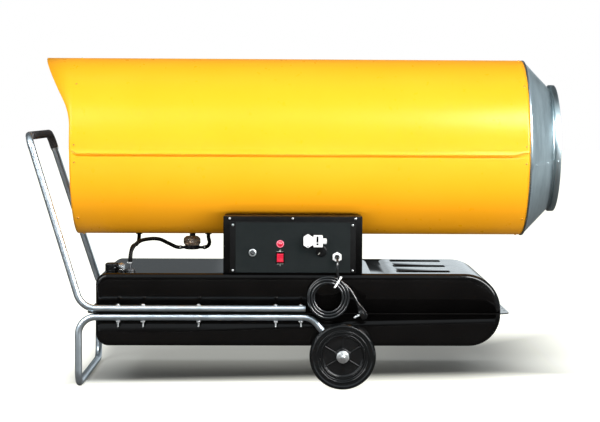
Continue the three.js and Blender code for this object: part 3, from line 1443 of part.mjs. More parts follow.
function hose(points, steps) {
  return sweep(shapeOf(circle(HOSE_RADIUS, HOSE_SIDES)), smoothStations(points, steps));
}

function tankHose() {
  const [x, y, z] = filterInlet;
  return hose([
    [PICKUP_X, tailPlaces[0], tailTop + GAP],
    [PICKUP_X, tailPlaces[0], tailTop + 18],
    [PICKUP_X + 4, tailPlaces[0] + 12, tailTop + 42],
    [PICKUP_X + 20, tailPlaces[0] + 38, tailTop + 62],
    [PICKUP_X + 48, -130, underBarrel - 10],
    [PICKUP_X + 80, -100, underBarrel - 12],
    [x - 38, y - 10, z + 12],
    [x - 12, y, z],
    [x, y, z],
  ], 13);
}

function feedHose() {
  const [x, y, z] = filterOutlet;
  const [entryX, entryY] = feedEntry;
  return hose([
    [x, y, z],
    [x + 6, y, z],
    [entryX + 3, (y + entryY) / 2, z + 10],
    [entryX, entryY, underBarrel - 8],
    [entryX, entryY, underBarrel + 14],
    [entryX - 12, entryY + 6, underBarrel + 60],
    [entryX - 52, entryY + 16, pumpUnderside - 60],
    [pumpFront - 16, -14, pumpUnderside - 24],
    [pumpFront - 16, -14, pumpUnderside],
  ], 19);
}

function returnHose() {
  const [entryX, entryY] = returnEntry;
  return hose([
    [PICKUP_X, tailPlaces[1], tailTop + GAP],
    [PICKUP_X, tailPlaces[1], tailTop + 18],
    [PICKUP_X + 2, tailPlaces[1] + 40, tailTop + 46],
    [entryX - 2, -90, underBarrel - 26],
    [entryX, entryY - 4, underBarrel - 8],
    [entryX, entryY, underBarrel + 14],
    [entryX + 20, entryY - 44, underBarrel + 70],
    [motorFront - 30, -74, pumpUnderside - 80],
    [pumpRear + 16, -30, pumpUnderside - 36],
    [pumpRear + 16, -20, pumpUnderside - 14],
    [pumpRear + 16, -20, pumpUnderside],
  ], 23);
}

place('filter_head', filterHead(), 'blackSatin');
place('filter_bowl', filterBowl(), 'amber');
place('tank_hose', tankHose(), 'rubber');
place('feed_hose', feedHose(), 'rubber');
place('return_hose', returnHose(), 'rubber');

// ---------------------------------------------------------------- mains lead

// Flat coil of two layers: the front layer spirals in, the cord crosses to the back layer in the
// half turn where the spiral reverses, and the back layer spirals out again.
function coilPoint(turned) {
  const middle = COIL_SWEEP / 2;
  const zone = 90;
  const past = turned - middle;
  const wound = Math.abs(past) < zone
    ? middle - zone / 2 - past ** 2 / (2 * zone)
    : middle - Math.abs(past);
  const climb = THREE.MathUtils.smoothstep(past, -zone, zone);
  const radius = COIL_RADIUS - COIL_PITCH * wound / 360;
  const angle = (COIL_START - turned) * RAD;
  return new THREE.Vector3(
    COIL_CENTRE_X + radius * Math.cos(angle),
    COIL_FRONT_Y + COIL_PITCH * climb,
    COIL_CENTRE_Z + radius * Math.sin(angle));
}

function coilStations() {
  const steps = Math.round(COIL_SWEEP / 360 * COIL_STEPS_PER_TURN);
  const stations = Array.from({ length: steps + 1 }, (_, i) => {
    const turned = COIL_SWEEP * i / steps;
    const tangent = coilPoint(turned + 0.5).sub(coilPoint(turned - 0.5)).normalize();
    return { point: coilPoint(turned), tangent };
  });
  const straight = 2 * CORD_RADIUS;
  const [first, last] = [stations[0], stations[stations.length - 1]];
  return [
    { point: first.point.clone().addScaledVector(first.tangent, -straight), tangent: first.tangent },
    ...stations,
    { point: last.point.clone().addScaledVector(last.tangent, straight), tangent: last.tangent },
  ];
}

function leastGap(stations) {
  const spacing = stations[2].point.distanceTo(stations[1].point);
  const apart = Math.ceil(4 * CORD_RADIUS / spacing) + 1;
  let least = Infinity;
  for (let i = 0; i < stations.length; i += 1) {
    for (let j = i + apart; j < stations.length; j += 1) {
      least = Math.min(least, stations[i].point.distanceTo(stations[j].point));
    }
  }
  return least - 2 * CORD_RADIUS;
}

const coil = coilStations();
console.log(`least gap between the coil's turns: ${leastGap(coil).toFixed(2)} mm`);
const coilStart = coil[0];
const coilEnd = coil[coil.length - 1];

const glandTip = panelFace - GAP - GLAND_HEX - GLAND_NOSE;

// Straight out of the gland, over and down, then in to the coil's front layer.
const leadRoute = [
  [GLAND_X, glandTip - GAP, glandZ],
  [GLAND_X, glandTip - 12, glandZ],
  [GLAND_X, glandTip - 27, glandZ - 4.5],
  [GLAND_X - 0.4, glandTip - 37, glandZ - 15],
  [GLAND_X - 0.6, glandTip - 40, glandZ - 29],
  [GLAND_X + 0.3, glandTip - 38.5, glandZ - 43],
  [GLAND_X + 3, glandTip - 35, glandZ - 55],
  [GLAND_X + 7.2, glandTip - 30, glandZ - 64.5],
  coilStart.point.clone().addScaledVector(coilStart.tangent, -GAP - CORD_RADIUS).toArray(),
  coilStart.point.clone().addScaledVector(coilStart.tangent, -GAP).toArray(),
];

const plugEntry = new THREE.Vector3(179, -337, 261.6);
const plugDown = new THREE.Vector3(0.45, 0, -0.89).normalize();
const plugOut = new THREE.Vector3(plugDown.z, 0, -plugDown.x);

const tailRoute = [
  coilEnd.point.clone().addScaledVector(coilEnd.tangent, GAP).toArray(),
  coilEnd.point.clone().addScaledVector(coilEnd.tangent, GAP + CORD_RADIUS).toArray(),
  [146, -324, 310.3],
  [155, -326.5, 301.5],
  [162.5, -330, 291.5],
  [168.5, -334, 281.5],
  plugEntry.clone().addScaledVector(plugDown, -GAP - 2 * CORD_RADIUS).toArray(),
  plugEntry.clone().addScaledVector(plugDown, -GAP).toArray(),
];

function cordStretch(route, steps) {
  return sweep(shapeOf(circle(CORD_RADIUS, CORD_SIDES)), smoothStations(route, steps));
}

// A right-angled two-pin plug: drawn with the cord coming down its +Z end and the pins along +X.
function plug() {
  const bodyTop = -PLUG_RELIEF_LENGTH;
  const bodyEnd = bodyTop - PLUG_BODY_LENGTH;
  const relief = revolveZ([
    [0, 0],
    [CORD_RADIUS + 1.5, 0],
    [CORD_RADIUS + 4, bodyTop - 2],
    [0, bodyTop - 2],
  ], 12);
  const half = PLUG_FACE_DEPTH / 2;
  const grip = prismY(shapeOf([
    [-6, bodyTop], [6, bodyTop], [half, bodyEnd + PLUG_FACE_RADIUS], [half, bodyEnd + 4],
    [-half * 0.2, bodyEnd], [-half, bodyEnd + 7], [-half, bodyTop - 16],
  ]), -12, 12, 2, 1);
  const faceZ = bodyEnd + PLUG_FACE_RADIUS;
  const face = revolveX(rod(PLUG_FACE_RADIUS, -half * 0.5, half), 20).translate(0, 0, faceZ);
  const pins = [-1, 1].map((side) => revolveX(rod(PLUG_PIN_RADIUS, half - 1, half + PLUG_PIN_LENGTH), 6)
    .translate(0, side * PLUG_PIN_SPACING / 2, faceZ));
  return join(relief, grip, face, ...pins);
}

// A band round all the strands of the coil at one place, and round the lead beside them.
function cableTie() {
  const margin = CORD_RADIUS + ROUND_GAP;
  const inner = COIL_RADIUS - COIL_PITCH * COIL_SWEEP / 720 + COIL_PITCH * 0.1;
  const [low, high] = [inner - margin, COIL_RADIUS + margin + 9];
  const [front, back] = [COIL_FRONT_Y - margin - 5.5, COIL_FRONT_Y + COIL_PITCH + margin];
  const band = (offset) => {
    const round = 3 + offset;
    return [
      ...arc(high + offset - round, back + offset - round, round, 0, 90, 3),
      ...arc(low - offset + round, back + offset - round, round, 90, 180, 3),
      ...arc(low - offset + round, front - offset + round, round, 180, 270, 3),
      ...arc(high + offset - round, front - offset + round, round, 270, 360, 3),
    ];
  };
  const loop = prismZ(shapeOf(band(TIE_WALL), [band(0)]), -TIE_WIDTH / 2, TIE_WIDTH / 2);
  const lock = box(high - 1, high + 7, front - TIE_WALL - 3, front - 0.2, -TIE_WIDTH / 2 - 1.2, TIE_WIDTH / 2 + 1.2);
  return join(loop, lock).rotateY(-TIE_ANGLE * RAD).translate(COIL_CENTRE_X, 0, COIL_CENTRE_Z);
}

place('cord_lead', cordStretch(leadRoute, 13), 'rubber');
place('cord_coil', sweep(shapeOf(circle(CORD_RADIUS, COIL_SIDES)), coil), 'rubber');
place('cord_tail', cordStretch(tailRoute, 8), 'rubber');
const plugMesh = place('plug', plug(), 'rubber');
plugMesh.quaternion.setFromRotationMatrix(new THREE.Matrix4().makeBasis(
  plugOut, new THREE.Vector3().crossVectors(plugDown.clone().negate(), plugOut), plugDown.clone().negate()));
plugMesh.position.copy(plugEntry);
place('cable_tie', cableTie(), 'whitePlastic');

// The origin lies midway between the back of the handle and the front of the outlet rim.
const handleBack = HANDLE_TOP_X - TUBE_RADIUS - ROUND_GAP - GRIP_WALL;
heater.position.x = -(handleBack + rimFront) / 2;

export default heater;
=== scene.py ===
"""Fine shapes and finishes of a wheeled diesel forced air heater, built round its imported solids.

Every piece is modelled in millimetres from the heater's own middle and carried to the row's metres
when it is finished.
"""

from math import acos, cos, degrees, pi, radians, sin, sqrt, tan

import bmesh
import bpy
from mathutils import Matrix, Vector


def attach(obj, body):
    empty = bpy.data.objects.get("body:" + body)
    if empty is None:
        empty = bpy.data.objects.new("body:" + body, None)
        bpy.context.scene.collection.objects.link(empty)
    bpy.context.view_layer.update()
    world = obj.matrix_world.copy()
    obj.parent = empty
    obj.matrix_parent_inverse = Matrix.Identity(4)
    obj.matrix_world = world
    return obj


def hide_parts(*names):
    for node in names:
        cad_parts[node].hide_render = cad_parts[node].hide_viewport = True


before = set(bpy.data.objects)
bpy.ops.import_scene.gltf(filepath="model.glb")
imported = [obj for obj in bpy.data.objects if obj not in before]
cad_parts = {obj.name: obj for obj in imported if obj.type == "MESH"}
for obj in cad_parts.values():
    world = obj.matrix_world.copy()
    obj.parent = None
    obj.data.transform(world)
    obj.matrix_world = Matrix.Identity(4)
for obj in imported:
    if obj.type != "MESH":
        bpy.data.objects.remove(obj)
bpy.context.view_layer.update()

X, Y, Z = Vector((1, 0, 0)), Vector((0, 1, 0)), Vector((0, 0, 1))
MM = 0.001
ROW_SHIFT = 7.775
TO_ROW = Matrix.Scale(MM, 4) @ Matrix.Translation((ROW_SHIFT, 0, 0))
SHEET = 1.5

# Barrel
AXIS_Z = 717
BARREL = (0, 0, AXIS_Z)
LOWER_RADIUS, UPPER_RADIUS = 273, 275.1
CASING_REAR, CASING_FRONT = -686, 701
HOOD_UPRIGHT, HOOD_BEND, HOOD_LEAN = 60, 177, radians(29)
SEAM_DROP, SEAM_HEIGHT, SEAM_FLARE = 8, 5, 1.8
LIP_DROP, LIP_HEIGHT, LIP_FLARE = 17, 15, 5

# Tank and frame tubes
TANK_REAR, TANK_FRONT, TANK_HALF = -605.5, 614.5, 290
TANK_TOP, TANK_BOTTOM, SEAM_Z, FLANGE = 342, 123, 225, 25
RAIL_Y, TUBE_RADIUS = 305, 10.65
HANDLE_RAIL_Z, FOOT_RAIL_Z = 237.45, 212.25
BOLTS_X = (-537, -462, -296, -65, 11)
PICKUP_X, HOSE_TAILS_Y = -508, (-211.5, -198.5)

# Housing and panel
HOUSING_REAR, HOUSING_FRONT, HOUSING_HALF = -223, 195, 286
HOUSING_BOTTOM, HOUSING_TOP = 342.3, 515
SADDLE_RADIUS = 273.6
PANEL_FACE = -288.3
FILM = 0.35
FILM_FACE = PANEL_FACE - FILM

# Wheels
WHEEL_X, WHEEL_Z, WHEEL_MIDDLE = 136, 99.518, 340.15


def linked(name, data):
    made = bpy.data.objects.new(name, data)
    bpy.context.scene.collection.objects.link(made)
    return made


def photographers_camera():
    """Stands where the photograph was taken, almost level and square to the panel side."""
    yaw, pitch, roll = 0.0277, 0.0552, 0.0052
    ahead = Vector((sin(yaw) * cos(pitch), cos(yaw) * cos(pitch), -sin(pitch)))
    level = Vector((cos(yaw), -sin(yaw), 0))
    raised = level.cross(ahead)
    right = level * cos(roll) + raised * sin(roll)
    up = raised * cos(roll) - level * sin(roll)
    lens = bpy.data.cameras.new("camera")
    lens.lens, lens.sensor_width = 114.2, 36
    lens.shift_x = -0.07
    camera = linked("camera", lens)
    stance = Matrix((right, up, -ahead)).transposed().to_4x4()
    camera.matrix_world = Matrix.Translation((-0.0172, -5.995, 0.847)) @ stance
    bpy.context.scene.camera = camera


photographers_camera()


# ---------------------------------------------------------------- finishes


class Graph:
    """A node tree, with short ways to add to it."""

    def __init__(self, owner):
        owner.use_nodes = True
        self.nodes, self.links = owner.node_tree.nodes, owner.node_tree.links

    def node(self, kind, inputs=(), **settings):
        """A new node, whose inputs are numbers, colours or the outputs of other nodes."""
        made = self.nodes.new("ShaderNode" + kind)
        for name, value in settings.items():
            setattr(made, name, value)
        for socket, value in dict(inputs).items():
            if isinstance(value, bpy.types.NodeSocket):
                self.links.new(value, made.inputs[socket])
            else:
                made.inputs[socket].default_value = value
        return made

    def ranged(self, value, low, high, to_low, to_high, curve="LINEAR"):
        limits = {"From Min": low, "From Max": high, "To Min": to_low, "To Max": to_high}
        return self.node("MapRange", {"Value": value, **limits}, interpolation_type=curve).outputs["Result"]

    def joined(self, operation, value, *others):
        for other in others:
            value = self.node("Math", {0: value, 1: other}, operation=operation).outputs["Value"]
        return value

    def mixed(self, share, one, other):
        return self.node("MixShader", {0: share, 1: one, 2: other}).outputs[0]


SLOTS = {}  # material name: the slot of the pieces that it covers


def finish(name, slot, colour, polish, relief=None, **sockets):
    """A surface finish for the pieces of a material slot, varied by noise over their own coordinates.

    colour is (noise, dark, light), polish (noise, smooth, dull) or one roughness, and relief
    (noise, depth in metres). A noise is (scale, detail, roughness, stretch), or cells of one scale.
    """
    material = bpy.data.materials.new(name)
    graph = Graph(material)
    shader = graph.nodes["Principled BSDF"]
    place = graph.node("TexCoord").outputs["Object"]
    SLOTS[material.name] = slot

    def noise(scale, detail=None, roughness=0.5, stretch=None):
        basis = {"Vector": place, "Scale": scale}
        if detail is None:
            return graph.node("TexVoronoi", basis, feature="F1").outputs["Distance"]
        if stretch:
            basis["Vector"] = graph.node("Mapping", {"Vector": place, "Scale": stretch}).outputs["Vector"]
        return graph.node("TexNoise", {**basis, "Detail": detail, "Roughness": roughness}).outputs["Fac"]

    def shaded(socket, value):
        graph.links.new(value, shader.inputs[socket])

    for socket, value in sockets.items():
        shader.inputs[socket.replace("_", " ").title().replace("Ior", "IOR")].default_value = value
    pattern, dark, light = colour
    share = graph.ranged(noise(*pattern), 0.3, 0.7, 0, 1)
    tint = graph.node("Mix", {0: share, 6: (*dark, 1), 7: (*light, 1)}, data_type="RGBA")
    shaded("Base Color", tint.outputs[2])
    if isinstance(polish, tuple):
        pattern, smooth, dull = polish
        shaded("Roughness", graph.ranged(noise(*pattern), 0.3, 0.7, smooth, dull))
    else:
        shader.inputs["Roughness"].default_value = polish
    if relief:
        pattern, depth = relief
        shaded("Normal", graph.node("Bump", {"Strength": 1.0, "Distance": depth,
                                             "Height": noise(*pattern)}).outputs["Normal"])
    return material


YELLOW = finish("yellow_enamel", "yellow_paint", ((5, 3), (0.94, 0.388, 0.010), (0.96, 0.402, 0.013)),
                ((40, 4), 0.27, 0.36), ((3.2, 1, 0.5, (0.5, 1, 1)), 0.0006), specular_ior_level=0.2)
TANK_BLACK = finish("tank_gloss", "tank_paint",
                    ((9, 3), (0.0016, 0.0015, 0.0015), (0.0028, 0.0026, 0.0025)),
                    ((60, 4), 0.07, 0.13), ((4, 1), 0.00025), specular_ior_level=0.2)
HOUSING_BLACK = finish("housing_powder", "housing_paint",
                       ((14, 3), (0.0018, 0.0018, 0.0019), (0.003, 0.003, 0.003)),
                       ((90, 3), 0.34, 0.48), ((1500, 2), 0.00004), specular_ior_level=0.12)
PANEL_PRINT = finish("panel_print", None, ((25, 4), (0.0036, 0.0058, 0.0060), (0.0048, 0.0072, 0.0074)),
                     ((120, 2), 0.44, 0.56), ((2200, 1), 0.00003), specular_ior_level=0.16)
TUBE_ZINC = finish("zinc_tube", "tube_zinc", ((16, 4, 0.6), (0.54, 0.61, 0.66), (0.64, 0.71, 0.76)),
                   ((30, 3), 0.32, 0.4), metallic=1.0)
FASTENER_ZINC = finish("zinc_fastener", "fastener_zinc", ((120, 4), (0.50, 0.51, 0.51), (0.68, 0.69, 0.69)),
                       ((400, 4), 0.28, 0.5), ((1500, 2), 0.00003), metallic=1.0)
GALVANISED = finish("galvanised_sheet", "outlet_zinc",
                    ((30, 4, 0.6, (3.0, 0.35, 0.35)), (0.36, 0.44, 0.47), (0.48, 0.57, 0.60)),
                    ((26, 4, 0.6, (3.0, 0.3, 0.3)), 0.26, 0.4), ((5, 2), 0.0004), metallic=1.0)
HEAT_STEEL = finish("heat_steel", "heat_steel",
                    ((7, 4, 0.6, (0.3, 1, 1)), (0.24, 0.20, 0.20), (0.52, 0.46, 0.38)),
                    ((60, 4), 0.28, 0.55), ((300, 3), 0.00005), metallic=1.0)
DARK_STEEL = finish("dark_steel", "dark_steel", ((30, 4), (0.026, 0.029, 0.033), (0.048, 0.052, 0.056)),
                    ((150, 3), 0.36, 0.55), ((900, 2), 0.00005))
CAST_ALLOY = finish("cast_alloy", "cast_alloy", ((35, 4), (0.40, 0.41, 0.42), (0.58, 0.59, 0.60)),
                    ((200, 4), 0.38, 0.6), ((1100, 3), 0.0001), metallic=0.9)
BRASS = finish("brass", None, ((150, 4), (0.60, 0.39, 0.14), (0.78, 0.57, 0.26)),
               ((300, 4), 0.2, 0.4), metallic=1.0)
TYRE = finish("tyre_rubber", "tyre_rubber", ((60, 4), (0.0024, 0.0028, 0.003), (0.0036, 0.0040, 0.0042)),
              ((140, 4), 0.13, 0.2), ((200, 2), 0.00003), specular_ior_level=0.34)
BLACK_MOULDING = finish("black_moulding", "black_plastic",
                        ((60, 3), (0.003, 0.0032, 0.0034), (0.0042, 0.0044, 0.0046)),
                        ((300, 3), 0.13, 0.22), ((700, 2), 0.00002), specular_ior_level=0.34)
GRIP_FOAM = finish("grip_foam", "black_plastic", ((220, 5), (0.032, 0.028, 0.028), (0.066, 0.060, 0.060)),
                   ((400, 3), 0.65, 0.85), ((900,), 0.0002), specular_ior_level=0.3)
WHITE_MOULDING = finish("white_moulding", "white_plastic", ((90, 3), (0.74, 0.75, 0.74), (0.84, 0.85, 0.84)),
                        ((400, 3), 0.3, 0.45), ((2400, 2), 0.00004))
RED_LENS = finish("red_lens", "red_plastic", ((300, 2), (0.70, 0.006, 0.035), (0.86, 0.018, 0.06)), 0.16,
                  ((1500, 1), 0.00003), transmission_weight=0.35, coat_weight=0.4)
PALE_RED = finish("pale_red_rim", None, ((500, 2), (0.80, 0.12, 0.20), (0.90, 0.24, 0.32)), 0.25,
                  ((1500, 1), 0.00003), coat_weight=0.3)
CLEAR = finish("clear_moulding", "clear_plastic", ((120, 2), (0.86, 0.90, 0.92), (0.97, 0.98, 0.98)), 0.08,
               ((900, 1), 0.00003), transmission_weight=1.0, ior=1.49)
SMOKY = finish("smoky_bowl", "amber_plastic", ((60, 3), (0.40, 0.31, 0.22), (0.68, 0.62, 0.52)), 0.1,
               ((300, 1), 0.00004), transmission_weight=0.9, ior=1.3)
HOSE = finish("hose_rubber", "hose_rubber", ((80, 4), (0.0016, 0.0016, 0.0016), (0.003, 0.003, 0.0028)),
              ((200, 3), 0.32, 0.5), ((1400, 2), 0.00003), specular_ior_level=0.08)
CABLE = finish("cable_sheath", "cable_rubber", ((90, 4), (0.004, 0.005, 0.0055), (0.007, 0.008, 0.009)),
               ((240, 3), 0.12, 0.2), ((1600, 2), 0.00003), coat_weight=0.5, coat_roughness=0.1)
PAPER = finish("filter_paper", None, ((90, 4), (0.22, 0.12, 0.05), (0.42, 0.28, 0.15)), 0.8,
               ((700, 2), 0.00008))
PALE_INK = finish("pale_ink", None, ((900, 3), (0.50, 0.50, 0.45), (0.70, 0.70, 0.64)), 0.5)


# ---------------------------------------------------------------- making pieces


def eased(share):
    """Runs softly from 0 to 1."""
    share = min(max(share, 0), 1)
    return share * share * (3 - 2 * share)


def at(place, angle, axis="Z"):
    return Matrix.Translation(place) @ Matrix.Rotation(radians(angle), 4, axis)


def facing(place, along):
    """A place whose own Z points along a direction."""
    return Matrix.Translation(place) @ along.to_track_quat("Z", "Y").to_matrix().to_4x4()


def corners_of(made):
    return [part for part in made["geom"] if isinstance(part, bmesh.types.BMVert)]


def edges_of(made):
    return [part for part in made["geom"] if isinstance(part, bmesh.types.BMEdge)]


def middle_of(edge):
    return (edge.verts[0].co + edge.verts[1].co) / 2


def direction_of(edge):
    return (edge.verts[0].co - edge.verts[1].co).normalized()


def shifted(work, made, step):
    bmesh.ops.translate(work, verts=corners_of(made), vec=step)


def chained(work, corners, closed=False):
    for one, other in zip(corners, corners[1:] + corners[:1] if closed else corners[1:]):
        work.edges.new((one, other))


def cut_corner(work, corner, reach, segments):
    bmesh.ops.bevel(work, geom=[corner], offset=reach, offset_type="OFFSET", segments=segments,
                    profile=0.5, affect="VERTICES", material=-1, clamp_overlap=False)


def drawn_line(work, points, closed=False):
    """Corners joined by edges. A point's fourth number is the radius that its corner is rounded to."""
    corners = [work.verts.new(point[:3]) for point in points]
    chained(work, corners, closed)
    kept = set(work.verts) - set(corners)
    for corner, point in zip(corners, points):
        if len(point) > 3 and point[3]:
            one, other = [(edge.other_vert(corner).co - corner.co).normalized()
                          for edge in corner.link_edges]
            cut_corner(work, corner, point[3] / tan(one.angle(other) / 2), 5)
    line = [corner for corner in work.verts if corner not in kept]
    return line, [edge for edge in work.edges if edge.verts[0] in set(line)]


def turned(work, profile, axis, centre=(0, 0, 0), steps=64, closed=False, angle=2 * pi):
    """Spins a profile of (radius, place along the axis, corner radius) about an axis through centre."""
    seat = {"X": lambda r, a: (a, 0, r), "Y": lambda r, a: (r, a, 0), "Z": lambda r, a: (r, 0, a)}[axis]
    points = [(*(Vector(centre) + Vector(seat(radius, along))), *rounding)
              for radius, along, *rounding in profile]
    line, edges = drawn_line(work, points, closed)
    bmesh.ops.spin(work, geom=line + edges, cent=centre, axis={"X": X, "Y": Y, "Z": Z}[axis],
                   angle=angle, steps=steps, use_merge=angle == 2 * pi)
    bmesh.ops.remove_doubles(work, verts=work.verts, dist=0.0005)


def rounded(work, edges, width, segments):
    bmesh.ops.bevel(work, geom=list(edges), offset=width, offset_type="OFFSET", segments=segments,
                    profile=0.5, affect="EDGES", material=-1, clamp_overlap=True)


def folds(work, least, test=None):
    """Edges where the surface turns by more than least degrees."""
    return [edge for edge in work.edges if len(edge.link_faces) == 2
            and edge.calc_face_angle(0) > radians(least) and (test is None or test(edge))]


def plate(work, outline, push):
    """A flat sheet from its outline, made solid by pushing it along a vector."""
    line, edges = drawn_line(work, outline, closed=True)
    bmesh.ops.contextual_create(work, geom=edges)
    face = next(face for face in work.faces if set(face.verts) == set(line))
    shifted(work, bmesh.ops.extrude_face_region(work, geom=[face]), push)


def oblong(low, high, corner):
    """The four corners, rounded, of a rectangle between two corners."""
    (a, b), (c, d) = low, high
    return [(a, b, corner), (c, b, corner), (c, d, corner), (a, d, corner)]


def panel_sheet(work, low, high, y, proud, corner, edge_width=0.0, segments=2):
    """A sheet that faces the panel side, between two (x, z) corners, with its front edges rounded."""
    plate(work, [(x, y, z, radius) for x, z, radius in oblong(low, high, corner)], Y * -proud)
    if edge_width:
        front = y - proud + 0.05
        rounded(work, folds(work, 60, lambda edge: middle_of(edge).y < front), edge_width, segments)


def block(work, low, high, rounding=0.0, segments=2):
    """A rectangular block between two corners, with all its edges rounded."""
    low, high = Vector(low), Vector(high)
    made = bmesh.ops.create_cube(work, size=1)
    bmesh.ops.scale(work, verts=made["verts"], vec=high - low)
    bmesh.ops.translate(work, verts=made["verts"], vec=(low + high) / 2)
    if rounding:
        edges = {edge for corner in made["verts"] for edge in corner.link_edges}
        rounded(work, edges, rounding, segments)


def hexagon(work, centre, axis, radius, depth, chamfer):
    """A six-sided nut body with its corners broken, depth long, with its middle at centre."""
    made = bmesh.ops.create_cone(work, cap_ends=True, segments=6, radius1=radius, radius2=radius,
                                 depth=depth, matrix=facing(centre, axis))
    rims = {edge for corner in made["verts"] for edge in corner.link_edges
            if abs(direction_of(edge).dot(axis)) < 0.5}
    rounded(work, rims, chamfer, 2)


BEND_STEPS = 14


def bent_path(corners):
    """A path through corners given as (place, bend radius), with round bends."""
    places = [Vector(place) for place, _ in corners]
    path = [places[0]]
    for i in range(1, len(places) - 1):
        here, radius = places[i], corners[i][1]
        back, on = (places[i - 1] - here).normalized(), (places[i + 1] - here).normalized()
        half = back.angle(on) / 2
        centre = here + (back + on).normalized() * (radius / sin(half))
        start = here + back * (radius / tan(half)) - centre
        end = here + on * (radius / tan(half)) - centre
        path += [centre + start.slerp(end, step / BEND_STEPS) * radius for step in range(BEND_STEPS + 1)]
    return path + [places[-1]]


def path_curve(name, path, radius, sides, kind="POLY"):
    """A curve in row metres through places in millimetres, as thick as a tube or cord."""
    curve = bpy.data.curves.new(name, "CURVE")
    curve.dimensions = "3D"
    curve.bevel_depth = radius * MM
    curve.bevel_resolution = (sides - 4) // 2
    curve.use_fill_caps = True
    curve.resolution_u = 6
    spline = curve.splines.new(kind)
    knots = spline.bezier_points if kind == "BEZIER" else spline.points
    knots.add(len(path) - 1)
    for knot, place in zip(knots, path):
        if kind == "BEZIER":
            knot.co = TO_ROW @ Vector(place)
            knot.handle_left_type = knot.handle_right_type = "AUTO"
        else:
            knot.co = (*(TO_ROW @ Vector(place)), 1)
    return curve


def swept(work, path, radius, sides):
    """Adds a round bar that follows a path."""
    curve = path_curve("swept", path, radius, sides)
    carrier = linked("swept", curve)
    bpy.context.view_layer.update()
    mesh = bpy.data.meshes.new_from_object(carrier.evaluated_get(bpy.context.evaluated_depsgraph_get()))
    mesh.transform(TO_ROW.inverted())
    work.from_mesh(mesh)
    bpy.data.objects.remove(carrier)
    bpy.data.curves.remove(curve)
    bpy.data.meshes.remove(mesh)


def added(work, part, *places):
    """Joins a copy of a part to the work at each place, and is done with the part."""
    mesh = bpy.data.meshes.new("part")
    part.to_mesh(mesh)
    part.free()
    for place in places:
        copy = mesh.copy()
        copy.transform(place)
        work.from_mesh(copy)
        bpy.data.meshes.remove(copy)
    bpy.data.meshes.remove(mesh)


def ringed(work, part, centre, axis, count, first=0):
    """Joins copies of a part to the work, evenly round an axis through centre."""
    added(work, part, *[at(centre, 360 / count * step + first, axis) for step in range(count)])


def moved(work, matrix):
    bmesh.ops.transform(work, matrix=matrix, verts=work.verts)


def finished(work, name, material, node=None, body="heater", slot=None, crease=35):
    """Turns the work into a piece in the row's metres, which rides on a body and may stand for a node."""
    bmesh.ops.remove_doubles(work, verts=work.verts, dist=0.001)
    bmesh.ops.recalc_face_normals(work, faces=work.faces)
    moved(work, TO_ROW)
    mesh = bpy.data.meshes.new(name)
    work.to_mesh(mesh)
    work.free()
    mesh.shade_smooth()
    mesh.set_sharp_from_angle(angle=radians(crease))
    mesh.materials.append(material)
    piece = linked(name, mesh)
    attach(piece, body)
    if node:
        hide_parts(node)
        slot = slot or SLOTS[material.name]
    return piece


def turned_piece(name, material, node, profile, axis, centre, steps, **kept):
    work = bmesh.new()
    turned(work, profile, axis, centre, steps)
    return finished(work, name, material, node, **kept)


def walled(piece, thickness, side=-1.0):
    """Gives a sheet its thickness, in millimetres, inwards from the drawn surface."""
    wall = piece.modifiers.new("wall", "SOLIDIFY")
    wall.thickness = thickness * MM
    wall.offset = side
    wall.use_even_offset = True
    wall.use_quality_normals = True


def flexible(name, path, radius, sides, material, *nodes):
    """A cord or hose on a smooth curve, which stands for its nodes."""
    curve = path_curve(name, path, radius, sides, "BEZIER")
    curve.materials.append(material)
    piece = linked(name, curve)
    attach(piece, "heater")
    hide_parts(*nodes)
    return piece


# ---------------------------------------------------------------- mains lead

CORD_RADIUS = 3.75
COIL_CENTRE = Vector((91.6, 0, 272.7))
COIL_RADIUS, COIL_PITCH, COIL_FRONT_Y = 62.5, 8.6, -332
COIL_START, COIL_SWEEP, COIL_STEPS = 40, 1785, 119
COIL_CROSSING = 90
COIL_LEAD = 7.5
TIE_ANGLE = 59
GLAND = Vector((119, PANEL_FACE, 393))
GLAND_TIP = GLAND - Y * 16.3
PLUG_ENTRY = Vector((179, -337, 261.6))
PLUG_DOWN = Vector((0.45, 0, -0.89)).normalized()
PLUG_OUT = Vector((PLUG_DOWN.z, 0, -PLUG_DOWN.x))


def coil_place(turned_by):
    """Where the cord lies after so many degrees: it winds in, crosses to the back layer, and winds out."""
    middle, past = COIL_SWEEP / 2, turned_by - COIL_SWEEP / 2
    wound = middle - abs(past)
    if abs(past) < COIL_CROSSING:
        wound = middle - COIL_CROSSING / 2 - past ** 2 / (2 * COIL_CROSSING)
    radius = COIL_RADIUS - COIL_PITCH * wound / 360
    angle = radians(COIL_START - turned_by)
    y = COIL_FRONT_Y + COIL_PITCH * eased((past + COIL_CROSSING) / (2 * COIL_CROSSING))
    return COIL_CENTRE + Vector((radius * cos(angle), y, radius * sin(angle)))


def cord_route():
    """Straight out of the gland, down to the coil, round it, and down to the plug."""
    lead = [GLAND_TIP + Vector(step) for step in (
        (0, -0.3, 0), (0, -12, 0), (0, -27, -4.5), (-0.4, -37, -15), (-0.6, -40, -29), (0.3, -38.5, -43),
        (3, -35, -55), (7.2, -30, -64.5))]
    coil = [coil_place(COIL_SWEEP * step / COIL_STEPS) for step in range(COIL_STEPS + 1)]
    leaving = (coil_place(0.5) - coil_place(-0.5)).normalized() * COIL_LEAD
    ending = (coil_place(COIL_SWEEP + 0.5) - coil_place(COIL_SWEEP - 0.5)).normalized() * COIL_LEAD
    tail = [(146, -324, 310.3), (155, -326.5, 301.5), (162.5, -330, 291.5), (168.5, -334, 281.5),
            PLUG_ENTRY - PLUG_DOWN * 7.8, PLUG_ENTRY - PLUG_DOWN * 0.3]
    return [*lead, coil[0] - leaving, *coil, coil[-1] + ending, *tail]


